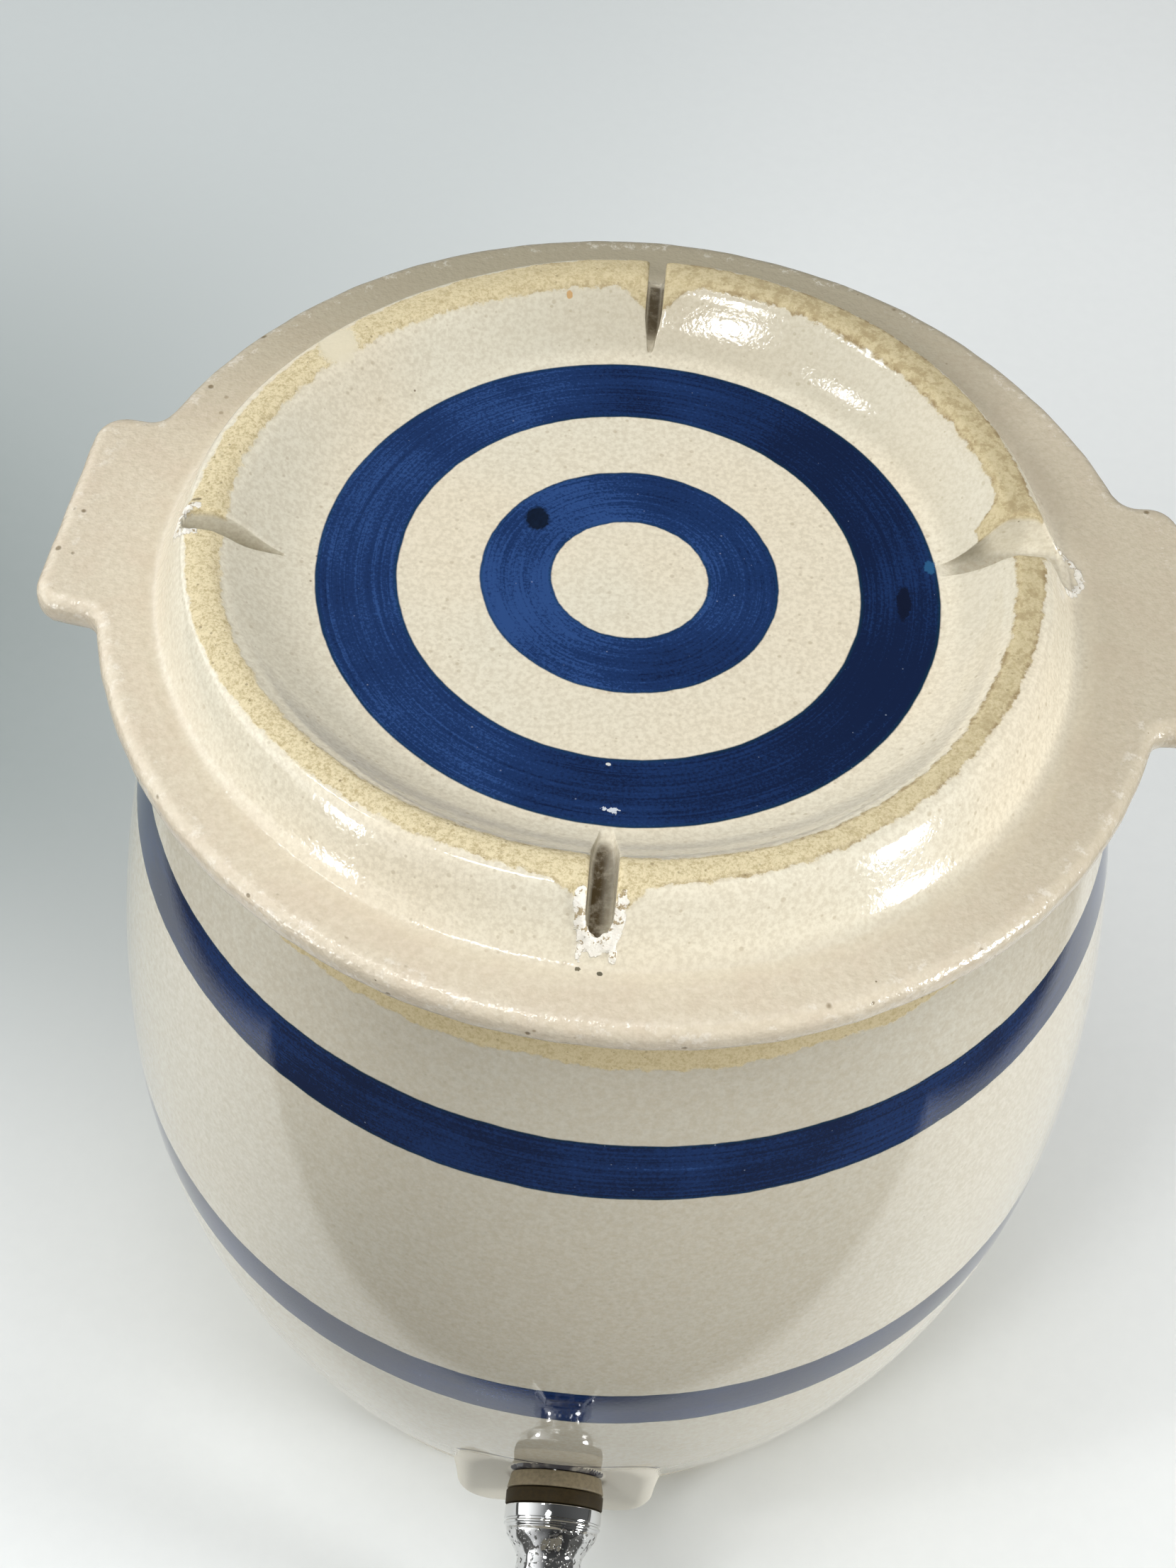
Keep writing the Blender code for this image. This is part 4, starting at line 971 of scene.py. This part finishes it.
tap = {
    "gap": 0.0003, "sealLength": 0.0045, "sealBack": 0.0126, "washerLength": 0.0040, "washerRadius": 0.0136,
    "collar": 0.0135, "collarLength": 0.0037, "groove": 0.0006, "bead": 0.0009, "flare": 0.0128,
    "flareLength": 0.0085, "neck": 0.0090, "barrelReach": 0.0425, "shankRadius": 0.0080, "shankEnd": 0.0248,
    "thread": 0.0014, "threadDepth": 0.0005, "threadEnd": -0.0100, "bore": 0.0052, "holeRadius": 0.0083,
    "barrel": 0.0120, "barrelTop": 0.0125, "barrelBottom": -0.0135, "lip": 0.0006, "spoutRoot": -0.0190,
    "spoutRootRadius": 0.0078, "spoutTip": 0.0066, "spoutLength": 0.0310, "outlet": 0.0045,
    "chamber": 0.0085, "valveSeat": -0.0095,
}
chromeLook = {"plate": (0.64, 0.64, 0.635, 1), "pit": (0.040, 0.038, 0.030, 1)}


# Points of a turned piece whose axis is the shank's: height is measured outwards from the seat.
def alongShank(points):
    turned = np.stack((points[..., 0], -points[..., 2], points[..., 1]), -1)
    return toWorld(turned, seatOrigin, tapSeat["lean"])


# Points of a turned piece whose axis is the valve's, which crosses the shank's at the barrel.
def alongValve(points):
    return toWorld(points - np.array((0, tap["barrelReach"], 0)), seatOrigin, tapSeat["lean"])


# Chrome plate over a casting: smooth lumps bend the reflections, and where noise is cut off high there
# are small dark pits. The machined collar and beads have neither.
def chromeMaterial(name, pitted):
    material, shader = newMaterial(name, {"Metallic": 1.0})
    place = objectPlace()
    cast = attributeValue("cast") if pitted else 0.0
    lumps = noise(place, 130.0, 1.0, 0.4)
    pits = ramp(noise(place, 820.0, 2.0, 0.6), 0.56, 0.615)
    pits = times(pits, cast)
    colour = mixColour(times(pits, 0.88), chromeLook["plate"], chromeLook["pit"])
    join(colour, shader.inputs["Base Color"])
    rough = plus(0.03, times(noise(place, 90.0, 3.0), 0.04))
    rough = plus(rough, times(pits, 0.30))
    join(rough, shader.inputs["Roughness"])
    relief = times(minus(lumps, times(pits, 0.10)),
                  plus(0.004, cast))
    addBump(shader, relief, 0.0012)
    return material


# A plain finish: one colour broken up by fine grain, with a little relief.
def plainMaterial(name, colour, rough, metallic=0.0, grainScale=900.0, variation=0.18, relief=0.00003,
                  shine=0.5):
    material, shader = newMaterial(name, {"Metallic": metallic, "Specular IOR Level": shine})
    place = objectPlace()
    grain = noise(place, grainScale, 4.0, 0.6)
    darker = tuple(part * (1 - variation) for part in colour[:3]) + (1,)
    lighter = tuple(min(part * (1 + variation), 1) for part in colour[:3]) + (1,)
    join(mixColour(ramp(grain, 0.3, 0.7), darker, lighter), shader.inputs["Base Color"])
    join(ramp(grain, 0.2, 0.8, rough * 0.85, rough * 1.15), shader.inputs["Roughness"])
    addBump(shader, grain, relief)
    return material


# Shank, collar, beads, flare and neck in one outline. The hidden end carries a screw thread: a ridge
# whose height depends on the distance along the axis less the turn times the pitch.
def shankPoints():
    start = tap["sealLength"] + tap["washerLength"] + 3 * tap["gap"]
    band = start + tap["collarLength"]
    bead = band + tap["groove"]
    flare = bead + tap["bead"] + tap["groove"]
    low = tap["collar"] - tap["groove"]
    turn = evenTurn(112)
    threadRows = np.arange(-tap["shankEnd"] + 0.0006, tap["threadEnd"], 0.00014)
    front = np.array([(0, -0.006), (tap["bore"], -0.006), (tap["bore"], -tap["shankEnd"] + 0.0004),
                      (tap["bore"] + 0.0003, -tap["shankEnd"]),
                      (tap["shankRadius"] - 0.0008, -tap["shankEnd"])])
    thread = np.stack((np.full(len(threadRows), tap["shankRadius"]), threadRows), -1)
    collar = filleted([(tap["shankRadius"], tap["threadEnd"] + 0.0003, 0),
                       (tap["shankRadius"], start, 0.0001), (tap["collar"], start, 0.0003),
                       (tap["collar"], band, 0.00025), (low, band, 0.0001), (low, bead, 0.0001),
                       (tap["collar"], bead, 0.0004), (tap["collar"], bead + tap["bead"], 0.0004),
                       (low, bead + tap["bead"], 0.0001), (low, flare, 0)], arcSteps=4)
    share = np.linspace(0, 1, 26)
    fall = 1 - rise(share, 0.0, 1.0)
    flareLine = np.stack((tap["neck"] + (tap["flare"] - tap["neck"]) * fall,
                          flare + tap["flareLength"] * share), -1)
    neckEnd = tap["barrelReach"] - tap["chamber"] + 0.0004
    reach = np.linspace(flare + tap["flareLength"], neckEnd, 14)[1:]
    swell = 0.0013 * rise(reach, neckEnd - 0.006, neckEnd) ** 1.5
    neck = np.stack((tap["neck"] + swell, reach), -1)
    end = np.array([(0, neckEnd)])
    profile = np.concatenate((front, thread, collar, flareLine, neck, end))
    points = turnedPoints(profile, turn)
    grid = points[len(front):len(front) + len(thread)]
    phase = (threadRows[:, None] / tap["thread"] - turn / (2 * np.pi)) % 1
    ridge = np.abs(phase - 0.5) * 2
    ends = rise(threadRows, threadRows[0] - 0.0001, threadRows[0] + 0.0012)
    ends = ends * (1 - rise(threadRows, threadRows[-1] - 0.0012, threadRows[-1]))
    radius = tap["shankRadius"] - tap["threadDepth"] * ridge * (0.35 + 0.65 * ends)[:, None]
    grid[..., 0], grid[..., 1] = radius * np.cos(turn), radius * np.sin(turn)
    cast = rise(profile[:, 1], flare + 0.0002, flare + 0.0012)[:, None]
    dents = np.sin(37 * turn + 9 * profile[:, 1:] * 900) * np.sin(5 * turn - profile[:, 1:] * 1900)
    points[..., :2] *= (1 - 0.004 * cast * (0.5 + 0.5 * dents))[..., None]
    return alongShank(points), {"cast": cast}


# Valve barrel and spout: a closed ring outline, hollow from the top down to the spout's mouth.
def barrelPoints():
    lipRadius = tap["barrel"] + tap["lip"]
    corners = [(tap["outlet"], -tap["spoutLength"], 0.0004), (tap["spoutTip"], -tap["spoutLength"], 0.0008),
               (tap["spoutRootRadius"], tap["spoutRoot"], 0.0030),
               (tap["barrel"], tap["barrelBottom"] + 0.0012, 0.0034),
               (tap["barrel"], tap["barrelTop"] - 0.0026, 0.0003),
               (lipRadius, tap["barrelTop"] - 0.0020, 0.0003),
               (lipRadius, tap["barrelTop"], 0.0005), (tap["chamber"], tap["barrelTop"], 0.0003),
               (tap["chamber"], tap["valveSeat"], 0.0003), (tap["outlet"], tap["valveSeat"], 0.0004)]
    profile = filleted(corners, closed=True, arcSteps=8)
    return alongValve(turnedPoints(profile, evenTurn(112))), {"cast": np.full((len(profile), 1), 0.55)}


# A washer: a ring outline with rounded corners. Its radius may differ between its back and its front.
def washerPoints(low, high, backRadius, frontRadius, fillet):
    corners = [(tap["holeRadius"], low, 0.0002), (backRadius, low, fillet), (frontRadius, high, fillet),
               (tap["holeRadius"], high, 0.0002)]
    return alongShank(turnedPoints(filleted(corners, closed=True), evenTurn(96)))


spring = {"radius": 0.0037, "wire": 0.00040, "turns": 4, "endTurns": 1, "low": -0.0030, "high": 0.0076}


# One wire: a small circle carried round the valve's axis. It climbs by little more than its own thickness
# in the first and last turns and evenly between them. Its ends are closed by poles.
def springPoints():
    wire, ends, whole = spring["wire"], spring["endTurns"], spring["turns"] + 2 * spring["endTurns"]
    low, high, pitch = spring["low"] + wire, spring["high"] - wire, 2 * wire + tap["gap"]
    turn = np.linspace(0, whole, 28 * whole + 1)
    flat = pitch * (np.minimum(turn, ends) + np.maximum(turn - ends - spring["turns"], 0))
    free = np.clip(turn - ends, 0, spring["turns"]) / spring["turns"] * (high - low - 2 * ends * pitch)
    angle = 2 * np.pi * turn
    outward = np.stack((np.cos(angle), np.sin(angle), 0 * angle), -1)
    path = spring["radius"] * outward + np.stack((0 * turn, 0 * turn, low + flat + free), -1)
    ahead = np.gradient(path, axis=0)
    side = np.cross(ahead / np.linalg.norm(ahead, axis=1)[:, None], outward)
    circle = evenTurn(12)[None, :, None]
    rings = path[:, None] + wire * (np.cos(circle) * outward[:, None] + np.sin(circle) * side[:, None])
    first, last = (np.broadcast_to(point, (1, 12, 3)) for point in (path[0], path[-1]))
    return alongValve(np.concatenate((first, rings, last)))


polishedChrome = chromeMaterial("polishedChrome", False)
castChrome = chromeMaterial("castChrome", True)
steel = plainMaterial("plainSteel", (0.50, 0.50, 0.49), 0.28, 1.0, 500.0, 0.10)
brass = plainMaterial("machinedBrass", (0.58, 0.44, 0.19), 0.30, 1.0, 500.0, 0.12)
oliveRubber = plainMaterial("oliveRubber", (0.150, 0.122, 0.074), 0.55, shine=0.3)
brownFibre = plainMaterial("brownFibre", (0.025, 0.0175, 0.0070), 0.60, shine=0.1)
blackRubber = plainMaterial("blackRubber", (0.022, 0.022, 0.022), 0.55)
silicone = plainMaterial("whiteSilicone", (0.70, 0.70, 0.67), 0.45, variation=0.04)
blackPlastic = plainMaterial("blackPlastic", (0.014, 0.014, 0.015), 0.30, grainScale=1600.0, relief=0.00001)

tapParts = (("tapShank", shankPoints(), False), ("tapBarrel", barrelPoints(), True))
for name, (points, marks), closed in tapParts:
    piece = gridPiece(name, points, closed, marks)
    finishPiece(piece, "cooler", castChrome, ["tap_body"])
sealEnd = tap["gap"] + tap["sealLength"]
washerStart = sealEnd + tap["gap"]
washerEnd = washerStart + tap["washerLength"]
innerStart = -tapSeat["thickness"] - tap["gap"]
# Name, node, slot, material, low and high end along the shank, radius at each end, and rounding.
washers = (
    ("taperedSeal", "outer_seal", "olive_rubber", oliveRubber,
     tap["gap"], sealEnd, tap["sealBack"], tap["washerRadius"], 0.0004),
    ("fibreWasher", "outer_washer", "brown_fibre", brownFibre,
     washerStart, washerEnd, tap["washerRadius"], tap["washerRadius"], 0.0004),
    ("insideSeal", "inner_seal", "black_rubber", blackRubber,
     innerStart - 0.0025, innerStart, 0.0145, 0.0145, 0.0005),
    ("insideWasher", "inner_washer", "steel", steel,
     innerStart - 0.0043, innerStart - 0.0028, 0.0140, 0.0140, 0.0003),
)
for name, node, slotName, material, low, high, backRadius, frontRadius, fillet in washers:
    piece = gridPiece(name, washerPoints(low, high, backRadius, frontRadius, fillet), True)
    finishPiece(piece, "cooler", material, [node])
# The spring is a new coil in place of the frame's spring.
springPiece = gridPiece("stemCoil", springPoints())
springPiece.data.materials.append(steel)
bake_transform(springPiece)
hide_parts("stem_spring")
cadFinishes = {
    "bonnet": polishedChrome, "lock_nut": brass, "bonnet_gasket": brownFibre, "stem_o_ring": blackRubber,
    "upper_spring_washer": steel, "lower_spring_washer": steel, "valve_stem": steel,
    "seat_cup": silicone, "lever": blackPlastic, "lever_pin": steel, "pin_clip": steel,
}
for name, material in cadFinishes.items():
    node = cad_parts[name]
    node.data.materials.clear()
    node.data.materials.append(material)
print("tap made")


roomSeen = (0.78, 0.80, 0.81, 1)
floorLook = {"pale": (0.76, 0.78, 0.775, 1), "shade": (0.31, 0.35, 0.345, 1), "far": (0.71, 0.75, 0.75, 1),
             "fibre": (0.5, 0.52, 0.53, 1), "beyond": (0.07, 0.07, 0.066, 1),
             "tableEdge": -0.18, "edgeSoft": 0.012, "tableSide": 0.345, "sideSoft": 0.02,
             "tableMiddle": -0.005, "fade": (0.95, 1.9)}


# A pale sheet with painted shade: its back left is a little darker, and far behind it is a little darker and
# greyer, less so to the right. Light that has met the object sees it end in front and at the sides like a
# table top, so that the glaze reflects a darker room beyond the edge. Far away the camera sees it turn into
# the room's pale grey.
def makeFloor():
    corners = [(-5, -5, 0), (5, -5, 0), (5, 5, 0), (-5, 5, 0)]
    mesh = bpy.data.meshes.new("floor")
    mesh.from_pydata(corners, [], [(0, 1, 2, 3)])
    item = bpy.data.objects.new("floor", mesh)
    bpy.context.scene.collection.objects.link(item)
    material, shader = newMaterial("palePaper", {"Roughness": 0.9, "Specular IOR Level": 0.2})
    place = objectPlace()
    parts = splitParts(place)
    leftward = ramp(parts["X"], 0.12, -0.30)
    behind = ramp(parts["Y"], -0.06, 0.16)
    colour = mixColour(times(leftward, behind), floorLook["pale"], floorLook["shade"])
    # Painted shade: the distant floor is darker and greyer.
    distantShade = times(ramp(parts["Y"], 0.20, 0.60, 0.0, 0.8), ramp(parts["X"], -0.25, 0.25, 1.0, 0.1))
    colour = mixColour(distantShade, colour, floorLook["far"])
    fibres = ramp(noise(place, 160.0, 4.0, 0.6), 0.3, 0.7, 0.0, 0.04)
    colour = mixColour(fibres, colour, floorLook["fibre"])
    seen = addNode("ShaderNodeLightPath").outputs["Is Camera Ray"]
    edge, soft = floorLook["tableEdge"], floorLook["edgeSoft"]
    beyond = ramp(parts["Y"], edge + soft, edge - soft)
    aside = calc("ABSOLUTE", minus(parts["X"], floorLook["tableMiddle"]))
    side, soft = floorLook["tableSide"], floorLook["sideSoft"]
    beyond = calc("MAXIMUM", beyond, ramp(aside, side - soft, side + soft))
    beyond = times(beyond, minus(1.0, seen))
    colour = mixColour(beyond, colour, floorLook["beyond"])
    reach = vectorMath("LENGTH", "Value", place)
    away = times(ramp(reach, *floorLook["fade"]), seen)
    shader.inputs["Emission Color"].default_value = roomSeen
    join(away, shader.inputs["Emission Strength"])
    join(mixColour(away, colour, (0, 0, 0, 1)), shader.inputs["Base Color"])
    mesh.materials.append(material)


# Area lamps. One that isn't mirrored gives no mirror image, one that isn't scattered gives nothing else.
lamps = {
    "overhead": {"place": (0.10, -0.05, 1.90), "size": (1.2, 1.0), "power": 18.4, "mirrored": False},
    "keyLeft": {"place": (-0.738, -1.137, 1.52), "size": (0.32, 0.50), "power": 8.2, "mirrored": False},
    "keyFarLeft": {"place": (-1.199, -0.645, 1.52), "size": (0.18, 0.50), "power": 4.6, "mirrored": False},
    "glintBack": {"place": (-0.32, -0.58, 1.52), "size": (0.26, 0.32), "power": 6.0, "scattered": False},
    "glintSide": {"place": (-0.69, -0.02, 1.52), "size": (0.12, 0.18), "power": 1.6, "scattered": False},
    "rightWindow": {"place": (1.37, -0.61, 0.31), "size": (0.32, 0.38), "power": 20.0},
    "leftWindow": {"place": (-1.20, -0.90, 0.31), "size": (0.20, 0.30), "power": 3.2},
}
lampAim = (0, 0, 0.16)


def makeLamps():
    for name, look in lamps.items():
        data = bpy.data.lights.new(name, "AREA")
        data.shape = "RECTANGLE"
        data.size, data.size_y = look["size"]
        data.energy = look["power"]
        item = bpy.data.objects.new(name, data)
        bpy.context.scene.collection.objects.link(item)
        item.location = look["place"]
        item.visible_glossy, item.visible_diffuse = look.get("mirrored", True), look.get("scattered", True)
        direction = Vector(lampAim) - Vector(look["place"])
        item.rotation_euler = direction.to_track_quat("-Z", "Y").to_euler()


roomLight = {"left": (0, -1, 2.05), "right": (0, 1, 0.14), "front": (1, -1, 0.02),
             "back": (1, 1, 0.04), "up": (2, 1, 0.08)}
roomTint = (0.97, 0.99, 1.0, 1)


# The room's light by direction: each side counts by the square of the direction's part that points at
# it, so that the five sides together cover the sky. The camera sees an even pale grey instead.
def makeWorld():
    world = bpy.data.worlds.new("softRoom")
    bpy.context.scene.world = world
    world.use_nodes = True
    world.node_tree.nodes.clear()
    graph["tree"] = world.node_tree
    parts = splitParts(addNode("ShaderNodeTexCoord").outputs["Generated"])
    level = 0.0
    for axis, sign, strength in roomLight.values():
        facing = calc("MAXIMUM", times(parts[axis], float(sign)), 0.0)
        level = plus(level, times(times(facing, facing), strength))
    soft = addNode("ShaderNodeBackground", {"Color": roomTint, "Strength": level})
    seen = addNode("ShaderNodeBackground", {"Color": roomSeen, "Strength": 1.0})
    path = addNode("ShaderNodeLightPath").outputs["Is Camera Ray"]
    mixed = addNode("ShaderNodeMixShader", {0: path, 1: soft.outputs[0], 2: seen.outputs[0]})
    addNode("ShaderNodeOutputWorld", {"Surface": mixed.outputs[0]})


view = {"place": (-0.008920, -0.427337, 0.748800), "turn": (38.2674, -3.3454, 4.3315),
        "focalPixels": 3700.0, "imageHeight": 2212.0, "sensor": 36.0}


def makeCamera():
    data = bpy.data.cameras.new("camera")
    data.sensor_width = view["sensor"]
    data.lens = view["focalPixels"] / view["imageHeight"] * view["sensor"]
    data.clip_start, data.clip_end = 0.02, 50
    item = bpy.data.objects.new("camera", data)
    bpy.context.scene.collection.objects.link(item)
    item.location = view["place"]
    item.rotation_euler = tuple(math.radians(angle) for angle in view["turn"])
    bpy.context.scene.camera = item


makeFloor()
makeLamps()
makeWorld()
makeCamera()
bpy.context.scene.view_settings.view_transform = "Standard"
print("floor, light and camera set")

bpy.context.view_layer.update()
